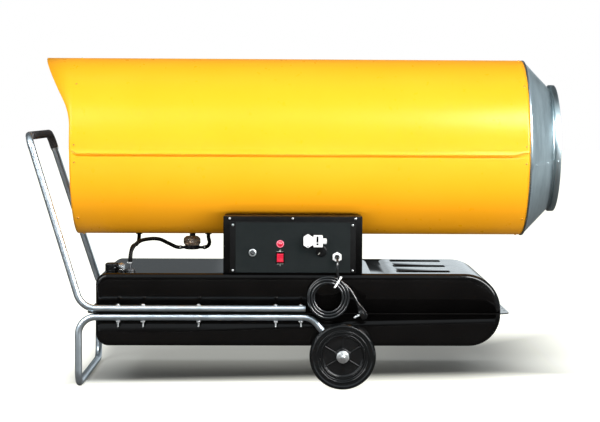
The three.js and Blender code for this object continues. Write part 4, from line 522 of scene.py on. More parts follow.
def mains_plug():
    """A right-angled plug with a ribbed grip, a round face and two pins."""
    upright = Matrix((PLUG_OUT, (-PLUG_DOWN).cross(PLUG_OUT), -PLUG_DOWN)).transposed().to_4x4()
    place = Matrix.Translation(PLUG_ENTRY) @ upright
    face_z, half = -37.5, 11.5
    work, grip = bmesh.new(), bmesh.new()
    turned(work, [(0, 0), (4.6, 0, 0.6), (5.0, -2.6), (5.4, -3.2), (5.6, -5.6), (6.2, -6.2), (6.6, -8.6),
                  (7.3, -9.2), (7.6, -13.5), (0, -13.5)], "Z", steps=24)
    turned(work, [(0, -5.5), (15.5, -5.5, 3), (18.4, -1.5, 2), (18.4, 9.5, 1.4), (16.4, 11), (16.0, 10.2),
                  (0, 10.2)], "X", (0, 0, face_z), steps=48)
    plate(grip, [(x, -half, z, corner) for x, z, corner in (
        (-6, -12, 2), (6, -12, 2), (10.5, face_z, 0), (10.5, -52, 2), (-2.2, -55.8, 4), (-10.5, -49, 5),
        (-10.5, -28, 6))], Y * 2 * half)
    rounded(grip, folds(grip, 40), 2.4, 3)
    added(work, grip, Matrix())
    for step in range(5):
        for y in (-11.1, 11.1):
            z = -18 - 3.6 * step
            block(work, (-7.5, y - 0.7, z - 0.9), (5.5, y + 0.7, z + 0.9), 0.6)
    moved(work, place)
    body = finished(work, "mains_plug", BLACK_MOULDING, "plug", slot="cable_rubber")
    work = bmesh.new()
    for y in (-9.5, 9.5):
        turned(work, [(0, 10), (2.4, 10), (2.4, 28.5, 1), (1.2, 30), (0, 30)], "X",
               (0, y, face_z), steps=16)
    moved(work, place)
    return body, finished(work, "plug_pins", FASTENER_ZINC)


def cord_tie():
    """A nylon band drawn round every turn of the coil, with its lock and cut tail outside."""
    inner = COIL_RADIUS - COIL_PITCH * COIL_SWEEP / 720 + COIL_PITCH * 0.1
    margin = CORD_RADIUS + 0.6
    low, high = inner - margin, COIL_RADIUS + margin + 4
    front, back = COIL_FRONT_Y - margin - 5.5, COIL_FRONT_Y + COIL_PITCH + margin
    work = bmesh.new()
    plate(work, [(x, y, -2.5, corner) for x, y, corner in oblong((low, front), (high, back), 3)], Z * 5)
    caps = [side for side in work.faces if abs(side.normal.z) > 0.9]
    bmesh.ops.delete(work, geom=caps, context="FACES")
    bmesh.ops.recalc_face_normals(work, faces=work.faces)
    bmesh.ops.solidify(work, geom=work.faces[:], thickness=-1.3)
    block(work, (high - 1, front - 4.2, -3.2), (high + 4.8, front - 0.1, 3.2), 0.8)
    block(work, (high + 4.0, front - 2.6, -2.0), (high + 6.0, front - 1.5, 2.0), 0.3)
    for step in range(9):
        along = low + 6 + step * 3.4
        block(work, (along, front - 1.55, -1.7), (along + 1.5, front - 1.2, 1.7), 0.12, 1)
    moved(work, at(COIL_CENTRE, -TIE_ANGLE, "Y"))
    return finished(work, "nylon_tie", WHITE_MOULDING, "cable_tie")


lead = flexible("mains_cord", cord_route(), CORD_RADIUS, 16, CABLE, "cord_lead", "cord_coil", "cord_tail")
(plug_body, plug_pins), tie = mains_plug(), cord_tie()
turned_piece("gland_boot", BLACK_MOULDING, None,
             [(CORD_RADIUS, 9), (7.2, 9), (7.2, 1, 1), (6.6, 0, 0.6), (6.3, -3), (5.8, -3.4), (5.7, -6.4),
              (5.2, -6.8), (5.1, -9.8), (4.7, -10.2), (4.5, -13.2, 0.5), (CORD_RADIUS, -13.2)],
             "Y", GLAND_TIP, 24)


# ---------------------------------------------------------------- barrel

# Cuts near both ends of the barrel, where the flared lips run out
END_STATIONS = (-678, -674, -669, -664, -660, 645, 653, 661, 669, 677, 685, 693)


def hood_edge(rise):
    """How far back the upper casing reaches, at a height above the barrel's axis."""
    past, bent = rise - HOOD_UPRIGHT, HOOD_BEND * sin(HOOD_LEAN)
    if past <= 0:
        return CASING_REAR
    if past <= bent:
        return CASING_REAR - HOOD_BEND + sqrt(HOOD_BEND ** 2 - past ** 2)
    return CASING_REAR - HOOD_BEND * (1 - cos(HOOD_LEAN)) - (past - bent) * tan(HOOD_LEAN)


def lip_share(x):
    """How much of the flared lip there is along the casing: none at its ends."""
    return eased(min((x + 678) / 18, (CASING_FRONT - 8 - x) / 48))


def half_round(radius, angle):
    """Half of a round line at the barrel's rear end, from the panel side."""
    work = bmesh.new()
    first = work.verts.new((CASING_REAR, -radius, AXIS_Z))
    bmesh.ops.spin(work, geom=[first], cent=BARREL, axis=X, angle=angle, steps=96, use_merge=False)
    return work


def upper_casing():
    """The hooded upper sheet, with lower edges that flare out over the lower casing."""
    work = half_round(UPPER_RADIUS, -pi)
    for side in (-1, 1):
        seat = Vector((CASING_REAR, side * UPPER_RADIUS, AXIS_Z))
        end = min(work.verts, key=lambda corner: (corner.co - seat).length)
        for part in (0.12, 0.3, 0.5, 0.7, 0.85, 1.0):
            end = bmesh.ops.extrude_vert_indiv(work, verts=[end])["verts"][0]
            end.co.z = AXIS_Z - LIP_DROP * part
    between = (-655, -560, -400, -200, 0, 200, 400, 560)
    stations = sorted({CASING_REAR, *END_STATIONS, *between, CASING_FRONT})
    edges = work.edges[:]
    for here, there in zip(stations, stations[1:]):
        made = bmesh.ops.extrude_edge_only(work, edges=edges)
        edges = edges_of(made)
        shifted(work, made, X * (there - here))
    for corner in work.verts:
        below = AXIS_Z - corner.co.z
        if below > 0.01:
            share = lip_share(corner.co.x)
            reach = SEAM_DROP + (LIP_DROP - SEAM_DROP) * share
            below = reach * below / LIP_DROP
            corner.co.z = AXIS_Z - below
            flare = LIP_FLARE * share * max(0, (below - (reach - LIP_HEIGHT)) / LIP_HEIGHT) ** 1.4
            flare += SEAM_FLARE * (1 - share) * max(0, (below - (reach - SEAM_HEIGHT)) / SEAM_HEIGHT)
            corner.co.y += flare if corner.co.y > 0 else -flare
        if corner.co.x == CASING_REAR:
            corner.co.x = hood_edge(corner.co.z - AXIS_Z)
    walled(finished(work, "upper_sheet", YELLOW, "upper_casing", crease=50), SHEET)


def cut_lines(work, axis, places):
    for place in places:
        bmesh.ops.bisect_plane(work, geom=work.verts[:] + work.edges[:] + work.faces[:],
                               plane_co=axis * place, plane_no=axis)


def lower_casing():
    """The lower sheet: its upper edges tuck in under the flared lips."""
    tuck_foot, tuck_height, tuck_depth = 690, 7.5, 5
    work = half_round(LOWER_RADIUS, pi)
    made = bmesh.ops.extrude_edge_only(work, edges=work.edges[:])
    shifted(work, made, X * (CASING_FRONT - CASING_REAR))
    cut_lines(work, Z, (689.5, 691, 693, 695, 697, 698.5))
    cut_lines(work, X, END_STATIONS)
    for corner in work.verts:
        inward = tuck_depth * lip_share(corner.co.x) * eased((corner.co.z - tuck_foot) / tuck_height)
        corner.co.y += inward if corner.co.y < 0 else -inward
    walled(finished(work, "lower_sheet", YELLOW, "lower_casing", crease=50), SHEET)


SCREW_ROWS_X = (-671, 690)
SCREW_ANGLES = (2, 44, 82, 136, 178, -9, -52, -90, -128, -171)


def casing_screws():
    """Painted pan screws round both ends of the barrel: they hold the outlet and the guard. Dark blocks on
    their heads are painted shade for the cross recesses.
    """
    work, painted_recess_shade = bmesh.new(), bmesh.new()
    for x in SCREW_ROWS_X:
        for angle in SCREW_ANGLES:
            radius = UPPER_RADIUS if angle > 0 else LOWER_RADIUS
            screw, recess = bmesh.new(), bmesh.new()
            turned(screw, [(0, 2.2), (1.6, 2.1), (3.4, 1.2), (3.9, 0.2, 0.2), (3.9, -0.4)], "Z", steps=16)
            # The cross recess is not cut: two dark blocks, just proud of the head, are painted shade in its
            # place.
            block(recess, (-2.4, -0.6, 1.6), (2.4, 0.6, 2.35))
            block(recess, (-0.6, -2.4, 1.6), (0.6, 2.4, 2.35))
            away = Vector((0, -cos(radians(angle)), sin(radians(angle))))
            place = facing(Vector((x, 0, AXIS_Z)) + away * radius, away)
            added(work, screw, place)
            added(painted_recess_shade, recess, place)
    finished(work, "casing_screws", YELLOW)
    finished(painted_recess_shade, "casing_screw_painted_recess_shade", DARK_STEEL)


def outlet_cone():
    """Galvanised: a skirt inside the casings, a rolled bead, the cone, and a stepped and rolled rim."""
    work = bmesh.new()
    turned(work, [(269.4, 676), (270.9, 676), (270.9, 701.5), (275.4, 701.5, 2), (275.4, 707.6, 2),
                  (270.4, 709.4, 1), (193, 783.4, 5), (193.4, 787, 2), (198.8, 789.4, 1.6), (198.8, 803.4),
                  (198.2, 805.2), (196.4, 806.2), (194.4, 805.6), (193.6, 803.8), (194.4, 802),
                  (196.4, 801.6), (197.3, 800.6, 0.3), (197.3, 790.6, 1), (191.9, 788, 1.6),
                  (191.5, 783.2, 4), (268.8, 709.2)], "X", BARREL, steps=144, closed=True)
    finished(work, "outlet_shell", GALVANISED, "outlet_cone")
    work, seam_angle, seam_width, seam_depth = bmesh.new(), 101, 4, 1.6
    seam = [(270.4, 711), (196, 782), (193.8, 785.5), (194.6, 788.4), (199.1, 790.6), (199.1, 803.5)]
    seam += [(radius - seam_depth, x) for radius, x in reversed(seam)]
    line, edges = drawn_line(work, [(x, 0, AXIS_Z + radius) for radius, x in seam], closed=True)
    start = Matrix.Rotation(radians(seam_angle - seam_width / 2), 3, "X")
    bmesh.ops.rotate(work, verts=line, cent=BARREL, matrix=start)
    bmesh.ops.spin(work, geom=line + edges, cent=BARREL, axis=X, angle=radians(seam_width), steps=4,
                   use_merge=False)
    bmesh.ops.holes_fill(work, edges=[edge for edge in work.edges if edge.is_boundary], sides=0)
    for radius, x, lean in ((255.4, 725.5, 46), (235.4, 744.7, 46), (215.4, 764, 46), (199.3, 796, 0)):
        spot = bmesh.new()
        turned(spot, [(0, 0.7), (1.8, 0.6), (2.9, 0)], "Z", steps=12)
        added(work, spot, at(BARREL, seam_angle, "X") @ at((x, 0, radius), lean, "Y"))
    finished(work, "outlet_seam", GALVANISED, crease=30)


# ---------------------------------------------------------------- inside the barrel


def combustion_chamber():
    """The rolled chamber with its turned-in mouth, the flame disc on three straps, and four feet."""
    work, strap = bmesh.new(), bmesh.new()
    turned(work, [(188.5, -230), (190, -230), (190, -120), (192, -117, 1), (192, -111, 1), (190, -108),
                  (190, 480), (192, 483, 1), (192, 489, 1), (190, 492), (190, 596, 4), (176, 610),
                  (174.5, 610), (188.5, 594.5, 4)], "X", BARREL, steps=96, closed=True)
    turned(work, [(0, 572), (40, 571), (94.5, 567.6), (130, 552, 3), (135, 550, 1), (135, 548.5, 0.5),
                  (129, 549.5, 3), (94.5, 565.6), (40, 569), (0, 570)], "X", BARREL, steps=72)
    block(strap, (548.6, -12, 126), (550.4, 12, 189), 0.5)
    block(strap, (540, -12, 187.2), (560, 12, 188.6), 0.4)
    ringed(work, strap, BARREL, "X", 3)
    for x in (-140, 520):
        foot = bmesh.new()
        block(foot, (x - 15, -1.5, 188), (x + 15, 1.5, 270.2), 0.6)
        block(foot, (x - 15, -1.5, 267.6), (x + 15, 16, 270.2), 0.6)
        added(work, foot, at(BARREL, -140, "X"), at(BARREL, -220, "X"))
    finished(work, "flame_tube", HEAT_STEEL, "combustion_chamber")


def drive_motor():
    """A finned fan motor with dished end bells."""
    work, fin = bmesh.new(), bmesh.new()
    turned(work, [(8.3, -556), (19, -556, 1.5), (21, -550, 1), (58, -546, 4), (62, -530, 3),
                  (68, -529.5, 0.6), (68, -417, 0.6), (62, -416.5, 3), (60, -404, 5), (24, -399, 1),
                  (20, -396, 1.5), (8.3, -396)], "X", BARREL, steps=72)
    block(fin, (-528, -0.9, 67), (-419, 0.9, 71.6), 0.5, 1)
    ringed(work, fin, BARREL, "X", 36, 5)
    finished(work, "motor_shell", DARK_STEEL, "fan_motor")


BLADE_FOOT, BLADE_ROOT, BLADE_TIP, BLADE_MIDDLE = 41.6, 52, 240, -601
ROOT_CHORD, TIP_CHORD, ROOT_PITCH, TIP_PITCH, CAMBER = 78, 124, 50, 24, 0.28
BLADE_STEPS = 8


def blade_section(radius):
    """A cambered section of a fan blade at a distance from the axis: it turns flatter towards the tip."""
    share = max(0, (radius - BLADE_ROOT) / (BLADE_TIP - BLADE_ROOT))
    chord = ROOT_CHORD + (TIP_CHORD - ROOT_CHORD) * share
    pitch = radians(ROOT_PITCH + (TIP_PITCH - ROOT_PITCH) * share)
    section = []
    for step in range(BLADE_STEPS + 1):
        t = step / BLADE_STEPS
        along, bulge = (t - 0.5) * chord, chord * CAMBER * t * (1 - t)
        section.append(Vector((BLADE_MIDDLE + along * sin(pitch) + bulge * cos(pitch),
                               along * cos(pitch) - bulge * sin(pitch), radius)))
    return section


def axial_fan():
    """Cast hub and six blades, twisted and cambered, each a sheet lofted through its sections."""
    turned_piece("fan_hub", CAST_ALLOY, None,
                 [(0, -628), (30, -628), (38, -627, 2), (51.4, -618, 7), (51.6, -575, 1), (46, -574, 1),
                  (44, -588, 2), (18, -590, 2), (16, -574.6, 1), (8.4, -574.4)],
                 "X", BARREL, 64, body="fan_rotor")
    work, blade = bmesh.new(), bmesh.new()
    edges = drawn_line(blade, blade_section(BLADE_FOOT))[1]
    for step in range(1, BLADE_STEPS + 1):
        made = bmesh.ops.extrude_edge_only(blade, edges=edges)
        edges = edges_of(made)
        section = blade_section(BLADE_FOOT + (BLADE_TIP - BLADE_FOOT) * step / BLADE_STEPS)
        for corner, place in zip(sorted(corners_of(made), key=lambda corner: corner.co.y),
                                 sorted(section, key=lambda place: place.y)):
            corner.co = place
    ringed(work, blade, BARREL, "X", 6)
    walled(finished(work, "fan_blades", CAST_ALLOY, "fan", body="fan_rotor", crease=60), 2.6, 0.0)


def wire_guard():
    """Five rings and four spokes of welded wire, inside the barrel's rear mouth."""
    work = bmesh.new()
    x, outer, inner, wire = -674, 268.7, 30, 2.2
    for i in range(5):
        radius = outer + (inner - outer) * i / 4
        turned(work, [(radius + wire * cos(a), x + wire * sin(a))
                      for a in [step * pi / 5 for step in range(10)]], "X", BARREL, steps=96, closed=True)
    for angle in (45, 135, 225, 315):
        outward = Vector((0, sin(radians(angle)), cos(radians(angle))))
        swept(work, [Vector((x - 3.6, 0, AXIS_Z)) + outward * radius for radius in (28, 269)], 2.0, sides=10)
    finished(work, "guard_wires", FASTENER_ZINC, "intake_guard")


# ---------------------------------------------------------------- control housing


def control_housing():
    """A folded box with saddle cut-outs, whose open top takes the barrel."""
    half_angle = acos((AXIS_Z - HOUSING_TOP) / SADDLE_RADIUS)
    reach = sqrt(SADDLE_RADIUS ** 2 - (AXIS_Z - HOUSING_TOP) ** 2)
    work = bmesh.new()
    first = work.verts.new((HOUSING_REAR, reach, HOUSING_TOP))
    bmesh.ops.spin(work, geom=[first], cent=BARREL, axis=X, angle=-2 * half_angle, steps=48,
                   use_merge=False)
    left = max(work.verts, key=lambda corner: corner.co.y)
    right = min(work.verts, key=lambda corner: corner.co.y)
    box = [work.verts.new((HOUSING_REAR, y, z)) for y, z in
           ((HOUSING_HALF, HOUSING_TOP), (HOUSING_HALF, HOUSING_BOTTOM), (-HOUSING_HALF, HOUSING_BOTTOM),
            (-HOUSING_HALF, HOUSING_TOP))]
    chained(work, [left, *box, right])
    bmesh.ops.contextual_create(work, geom=work.edges[:])
    made = bmesh.ops.extrude_face_region(work, geom=work.faces[:])
    shifted(work, made, X * (HOUSING_FRONT - HOUSING_REAR))
    bmesh.ops.recalc_face_normals(work, faces=work.faces)
    bmesh.ops.delete(work, context="FACES", geom=[
        face for face in work.faces if face.normal.z < -0.9
        or (abs(face.normal.x) < 0.1 and face.normal.z > 0 and abs(face.calc_center_median().y) < reach)])
    rounded(work, folds(work, 60, lambda edge: abs(middle_of(edge).y) > HOUSING_HALF - 1
                        or middle_of(edge).z > HOUSING_TOP - 1), 3.2, 4)
    walled(finished(work, "housing_box", HOUSING_BLACK, "control_housing"), 2)
    work = bmesh.new()
    arc, width = degrees(2 * half_angle) - 4, 24
    for x in (HOUSING_REAR + 1, HOUSING_FRONT - 25):
        strip = bmesh.new()
        turned(strip, [(273.7, x), (275.5, x), (275.5, x + width), (273.7, x + width)], "X", steps=40,
               closed=True, angle=radians(arc))
        added(work, strip, at(BARREL, 180 - arc / 2, "X"))
    bmesh.ops.holes_fill(work, edges=[edge for edge in work.edges if edge.is_boundary], sides=0)
    finished(work, "housing_saddles", BLACK_MOULDING)


def control_panel():
    """The screwed panel and the printed film on it."""
    work, film = bmesh.new(), bmesh.new()
    panel_sheet(work, (-203, 344.3), (175, 498), -286.4, 1.9, 2, 0.6)
    finished(work, "panel_plate", HOUSING_BLACK, "control_panel", slot="panel_paint")
    panel_sheet(film, (-186, 345.8), (158.5, 496.4), PANEL_FACE, FILM, 1.5, 0.15, 1)
    finished(film, "panel_film", PANEL_PRINT)


def pan_screws(name, places):
    """Cross-recessed pan screws that face the panel side, their recesses drawn as dark crosses of painted
    shade.
    """
    heads, painted_recess_shade, radius = bmesh.new(), bmesh.new(), 3.4
    for place in places:
        turned(heads, [(0, -2.0), (radius * 0.5, -1.9), (radius * 0.88, -1.2), (radius, -0.2, 0.15),
                       (radius, 0.3)], "Y", place, steps=20)
        # Painted shade: a dark cross just proud of the head stands in for the recess.
        slot = bmesh.new()
        block(slot, (-radius * 0.5, -2.04, -0.35), (radius * 0.5, -1.6, 0.35))
        added(painted_recess_shade, slot, at(place, 45, "Y"), at(place, 135, "Y"))
    finished(heads, name, FASTENER_ZINC)
    finished(painted_recess_shade, name + "_painted_recess_shade", DARK_STEEL)


def pilot_lamp():
    centre = (-52, FILM_FACE, 432)
    turned_piece("lamp_rim", PALE_RED, None,
                 [(8.6, -1), (8.6, -3.2, 0.4), (10.6, -3.2, 0.9), (11.4, -0.4), (11.4, 0)], "Y", centre, 48)
    lens = [(0, -7.2), (2.6, -7.0)]
    for radius, depth in ((4.0, 6.6), (5.4, 5.9), (6.8, 4.9), (7.9, 3.8)):
        lens += [(radius - 0.5, -depth - 0.25), (radius, -depth + 0.15)]
    turned_piece("lamp_lens", RED_LENS, "pilot_lamp", lens + [(8.7, -2.4), (8.7, -0.2)], "Y", centre, 48)


def rocker():
    """A rocker in its bezel, with the off half pressed in."""
    x, z, face = -52, 390, FILM_FACE
    work = bmesh.new()
    panel_sheet(work, (x - 13, z - 17), (x + 13, z + 17), face + 0.1, 2, 2)
    front = [side for side in work.faces if side.calc_center_median().y < face - 1.8]
    bmesh.ops.inset_region(work, faces=front, thickness=2.8, use_even_offset=True)
    shifted(work, bmesh.ops.extrude_face_region(work, geom=front), Y * 1.9)
    bmesh.ops.delete(work, geom=front, context="FACES_KEEP_BOUNDARY")
    rounded(work, folds(work, 60, lambda edge: middle_of(edge).y < face - 1.5), 0.5, 2)
    finished(work, "switch_bezel", BLACK_MOULDING, "rocker_bezel")
    work = bmesh.new()
    half, radius, proud, tilt = 9.8, 13.4, 7.5, radians(7)
    end, foot = acos(proud / radius), radians(94)
    upper = [(-half, -radius * cos(a), radius * sin(a))
             for a in [foot - (foot - end) * i / 5 for i in range(6)]]
    lower = [(x0, y0, -z0) for x0, y0, z0 in reversed(upper)]
    valley = [(-half, -proud + radius * tan(tilt) * (1 - abs(i) / 4) ** 2 * 0.6, sin(end) * radius * i / 4)
              for i in range(3, -4, -1)]
    plate(work, upper + valley + lower, X * 2 * half)
    rounded(work, folds(work, 60), 0.7, 2)
    block(work, (-0.5, -9.2, -8.2), (0.5, -7.2, -4.6), 0.1, 1)
    moved(work, at((x, PANEL_FACE, z), degrees(tilt), "X"))
    finished(work, "switch_rocker", RED_LENS, "rocker_switch", body="rocker")


def switch_marks():
    """Printed off ring and on bar over and under the switch, between two lines."""
    work = bmesh.new()
    face, ink = FILM_FACE, 0.1
    turned(work, [(1.5, 0), (1.5, -ink), (2.3, -ink), (2.3, 0)], "Y", (-52, face, 411.5), steps=24)
    block(work, (-52.4, face - ink, 365.0), (-51.6, face, 369.8))
    for z in (408.6, 371.4):
        block(work, (-62, face - ink, z - 0.3), (-42, face, z + 0.3))
    finished(work, "switch_marks", PALE_INK)


def reset_button():
    centre = (-135, FILM_FACE, 405)
    turned_piece("reset_nut", FASTENER_ZINC, "reset_collar",
                 [(7.3, -3.4), (7.3, -5.9, 0.4), (9.4, -6.0, 0.6), (11.3, -4.6, 0.8), (11.4, -0.2, 0.2),
                  (11.4, 0)], "Y", centre, 48)
    turned_piece("reset_cap", CLEAR, "reset_button",
                 [(0, -9.6), (3.2, -9.3), (6.2, -8.2, 1), (6.9, -6.6), (6.9, 6), (0, 6)], "Y", centre, 40,
                 body="reset_push")
    turned_piece("reset_plunger", DARK_STEEL, None,
                 [(0, -7.0), (4.2, -6.6, 0.6), (4.2, -3.8, 0.3), (0, -3.8)], "Y", centre, 24,
                 body="reset_push")


def thermostat_connector():
    """The white right-angled connector on its black socket: broad head, neck, slotted body, cable end."""
    x, z = 31, 442
    work = bmesh.new()
    panel_sheet(work, (x - 15, z - 22.5), (x + 15, z + 22.5), FILM_FACE, 3.6, 3, 0.6)
    finished(work, "socket_frame", BLACK_MOULDING, "thermostat_socket")
    rear, front, lift = FILM_FACE - 4, PANEL_FACE - 30.6, PANEL_FACE - 12
    work = bmesh.new()
    plate(work, [(x + dx, rear, z + dz, corner) for dx, dz, corner in (
        (-13.4, -12, 3.5), (0, -21, 5), (13.4, -12, 3.5), (13.4, 12, 3.5), (0, 21, 5), (-13.4, 12, 3.5))],
          Y * (front + 2.2 - rear))
    rounded(work, folds(work, 50, lambda edge: middle_of(edge).y < front + 3), 1.8, 3)
    for low, high, proud, back, rounding in (
            ((11, -12.6), (17.6, 12.6), 2.4, lift, 1.2), ((16.5, -17.8), (25.4, 17.8), 0.2, lift, 1.6),
            ((31.6, -17.8), (44.3, 17.8), 0.2, lift, 1.6), ((25, -17.8), (32.2, -12.4), 0.2, lift, 1.2),
            ((25, 13.8), (32.2, 17.8), 0.2, lift, 1.2), ((25, -13), (32.2, 14), 6, lift, 0.3),
            ((25, -6.2), (32.2, -4.2), 1.6, front + 7, 0.3)):
        block(work, (x + low[0], front + proud, z + low[1]), (x + high[0], back, z + high[1]), rounding)
    turned(work, [(0, 43), (8.9, 43), (8.9, 45.6, 0.4), (7.6, 46, 0.3), (7.6, 47.6, 0.3), (8.8, 48, 0.4),
                  (8.8, 50, 0.4), (7.6, 50.4, 0.3), (7.6, 52, 0.3), (8.8, 52.4, 0.4), (8.8, 55.6, 1.6),
                  (3.4, 56.4), (3.2, 54), (0, 54)], "X", (x, (front + lift) / 2, z), steps=32)
    finished(work, "connector_shell", WHITE_MOULDING, "thermostat_plug", body="thermostat_connector")
    work = bmesh.new()
    block(work, (x + 25.2, front + 5.2, z - 12.5), (x + 32.0, front + 6.4, z + 13.9))
    turned(work, [(0, -0.05), (1.7, 0.1), (2.0, 0.8)], "Y", (x, front, z - 15.6), steps=20)
    finished(work, "connector_shadow_parts", BLACK_MOULDING, body="thermostat_connector")


def thermostat_knob():
    """A low ribbed knob with a pale pointer line."""
    centre, pointer_angle = (71, FILM_FACE, 410), -46
    work, rib = bmesh.new(), bmesh.new()
    turned(work, [(0, -7.4), (12.4, -7.5, 0.5), (13.6, -6.6, 0.8), (15.2, -2.2), (16.9, -1.6, 0.5),
                  (16.9, -0.1)], "Y", centre, steps=60)
    block(rib, (13.2, -6.4, -0.5), (15.6, -1.8, 0.5), 0.3, 1)
    ringed(work, rib, centre, "Y", 30, 6)
    finished(work, "dial_knob", BLACK_MOULDING, "thermostat_knob", body="thermostat_dial")
    work = bmesh.new()
    block(work, (-13.2, -7.75, -0.7), (-5.5, -7.3, 0.7), 0.15, 1)
    moved(work, at(centre, pointer_angle, "Y"))
    finished(work, "dial_pointer", PALE_INK, body="thermostat_dial")


def cable_gland():
    work = bmesh.new()
    hexagon(work, GLAND - Y * 4.3, Y, 15.3, 7.9, 0.9)
    turned(work, [(7.4, -15.4), (8.6, -16.2, 0.6), (9.4, -15.2, 0.6), (10, -12, 1), (10.4, -8.2, 0.4),
                  (13.0, -8.3, 0.3), (13.0, -7)], "Y", GLAND, steps=40)
    finished(work, "gland_nut", WHITE_MOULDING, "cable_gland")


# ---------------------------------------------------------------- tank


def tank_half(name, node, level, rear_radius, front_radius, press=None):
    """Half of the tank, from its seam up or down to a level."""
    work = bmesh.new()
    corners = [work.verts.new((x, -TANK_HALF, z)) for x, z in
               ((TANK_REAR, SEAM_Z), (TANK_REAR, level), (TANK_FRONT, level), (TANK_FRONT, SEAM_Z))]
    chained(work, corners)
    cut_corner(work, corners[1], rear_radius, 14)
    cut_corner(work, corners[2], front_radius, 14)
    shifted(work, bmesh.ops.extrude_edge_only(work, edges=work.edges[:]), Y * 2 * TANK_HALF)

    def at_seam(corner):
        return abs(corner.co.z - SEAM_Z) < 0.01

    for side in (-1, 1):
        rim = [edge for edge in work.edges
               if all(abs(corner.co.y - side * TANK_HALF) < 0.01 for corner in edge.verts)]
        rim.append(work.edges.new(filter(at_seam, {corner for edge in rim for corner in edge.verts})))
        bmesh.ops.contextual_create(work, geom=rim)
    bmesh.ops.recalc_face_normals(work, faces=work.faces)
    rounded(work, folds(work, 60, lambda edge: abs(abs(middle_of(edge).y) - TANK_HALF) < 0.01
                        and not all(map(at_seam, edge.verts))), 14, 8)
    if press:
        press(work)
    walled(finished(work, name, TANK_BLACK, node, crease=40), SHEET)


def pressed_in(work, low, high, depth, corner_radius, slope=0):
    """Sinks part of the tank's top between two (x, y) corners: soft corners and rims, sloping ends."""
    def within(place, margin):
        return all(low[i] - margin < place[i] < high[i] + margin for i in (0, 1))

    def near(edge):
        return within(middle_of(edge), 0.1)

    inside = [face for face in work.faces if face.normal.z > 0.99 and within(face.calc_center_median(), 0)
              and abs(face.calc_center_median().z - TANK_TOP) < 0.01]
    made = bmesh.ops.extrude_face_region(work, geom=inside)
    bmesh.ops.delete(work, geom=[face for face in inside if face.is_valid], context="FACES_KEEP_BOUNDARY")
    shifted(work, made, Z * -depth)
    for corner in corners_of(made):
        if abs(corner.co.x - low[0]) < 0.01:
            corner.co.x += slope
        elif abs(corner.co.x - high[0]) < 0.01:
            corner.co.x -= slope
    rounded(work, [edge for edge in work.edges if near(edge) and abs(direction_of(edge).z) > 0.25
                   and edge.calc_face_angle(0) > 1], corner_radius, 6)
    bmesh.ops.dissolve_limit(work, angle_limit=radians(0.5),
                             edges=[edge for edge in work.edges if near(edge)],
                             verts=[corner for corner in work.verts if abs(corner.co.z - TANK_TOP) < 0.01
                                    and len(corner.link_edges) == 2])
    rounded(work, folds(work, 50, near), min(2.0, depth * 0.4), 3)


def tank_top_pressings(work):
    """A cross recess, and three long grooves in front of it."""
    recess, grooves, rows, half, groove_half = (213, 279), (304, 466), (-198, 0, 198), 272, 33
    cut_lines(work, X, recess + grooves)
    cut_lines(work, Y, [-half, *[row + side * groove_half for row in rows for side in (-1, 1)], half])
    pressed_in(work, (recess[0], -half), (recess[1], half), depth=4, corner_radius=3, slope=11)
    for row in rows:
        pressed_in(work, (grooves[0], row - groove_half), (grooves[1], row + groove_half), depth=6,
                   corner_radius=9)


def seam_flange():
    """The two flanges, rolled together, with a line of spot welds."""
    work = bmesh.new()
    low, high = (TANK_REAR - FLANGE, -TANK_HALF - FLANGE), (TANK_FRONT + FLANGE, TANK_HALF + FLANGE)
    for z in (223.2, SEAM_Z):
        plate(work, [(x, y, z, corner) for x, y, corner in oblong(low, high, 34)], Z * SHEET)
        caps = [side for side in work.faces if abs(side.normal.z) > 0.99 and side.calc_area() > 500000
                and z - 0.1 < side.calc_center_median().z < z + SHEET + 0.1]
        bmesh.ops.inset_region(work, faces=caps, thickness=FLANGE + 1.5, use_even_offset=True)
        bmesh.ops.delete(work, geom=caps, context="FACES")
    finished(work, "seam_flange", TANK_BLACK, crease=30)
    work = bmesh.new()
    spots = [(x, y) for x in range(-560, 600, 58) for y in (-312, 312)]
    spots += [(x, y) for y in range(-232, 240, 58) for x in (-622, 631)]
    for x, y in spots:
        turned(work, [(0, 0.12), (1.6, 0.12, 0.2), (2.3, 0.35, 0.3), (3.2, 0)], "Z",
               (x, y, SEAM_Z + SHEET), steps=14)
    finished(work, "seam_spots", TANK_BLACK)


def drain_plug():
    work = bmesh.new()
    hexagon(work, Vector((-323, 0, 119.2)), Z, 13, 7, 1)
    turned(work, [(13.6, 122.4), (13.6, 121.4, 0.3), (9, 121.2), (9, 122.6)], "Z", (-323, 0, 0), steps=32)
    finished(work, "drain_bung", BLACK_MOULDING, "drain_plug")


def filler_cap():
    """A ribbed screw cap with a dished top, and the collar that it screws on."""
    centre = (-562, -205, TANK_TOP + 0.4)
    work, rib = bmesh.new(), bmesh.new()
    turned(work, [(0, 22.8), (9, 22.8, 1), (11, 24.6, 1), (17.6, 24.6, 2), (20.4, 22.4, 1.4), (20.4, 3.4),
                  (22.3, 3.2, 0.6), (22.3, 0.2, 0.3), (19.6, 0)], "Z", centre, steps=64)
    block(rib, (19.8, -0.95, 3.0), (22.3, 0.95, 21.4), 0.5, 2)
    ringed(work, rib, centre, "Z", 32)
    block(work, Vector(centre) + Vector((-9, -1.6, 22.6)), Vector(centre) + Vector((9, 1.6, 24.4)), 0.6)
    finished(work, "fuel_cap", BLACK_MOULDING, "filler_cap", body="cap")
    turned_piece("filler_neck_collar", TANK_BLACK, None,
                 [(17, 341), (17, 356.2, 0.4), (19, 356.2, 0.4), (19, 344.5, 1.4), (23.4, 342.1)],
                 "Z", (*centre[:2], 0), 40)


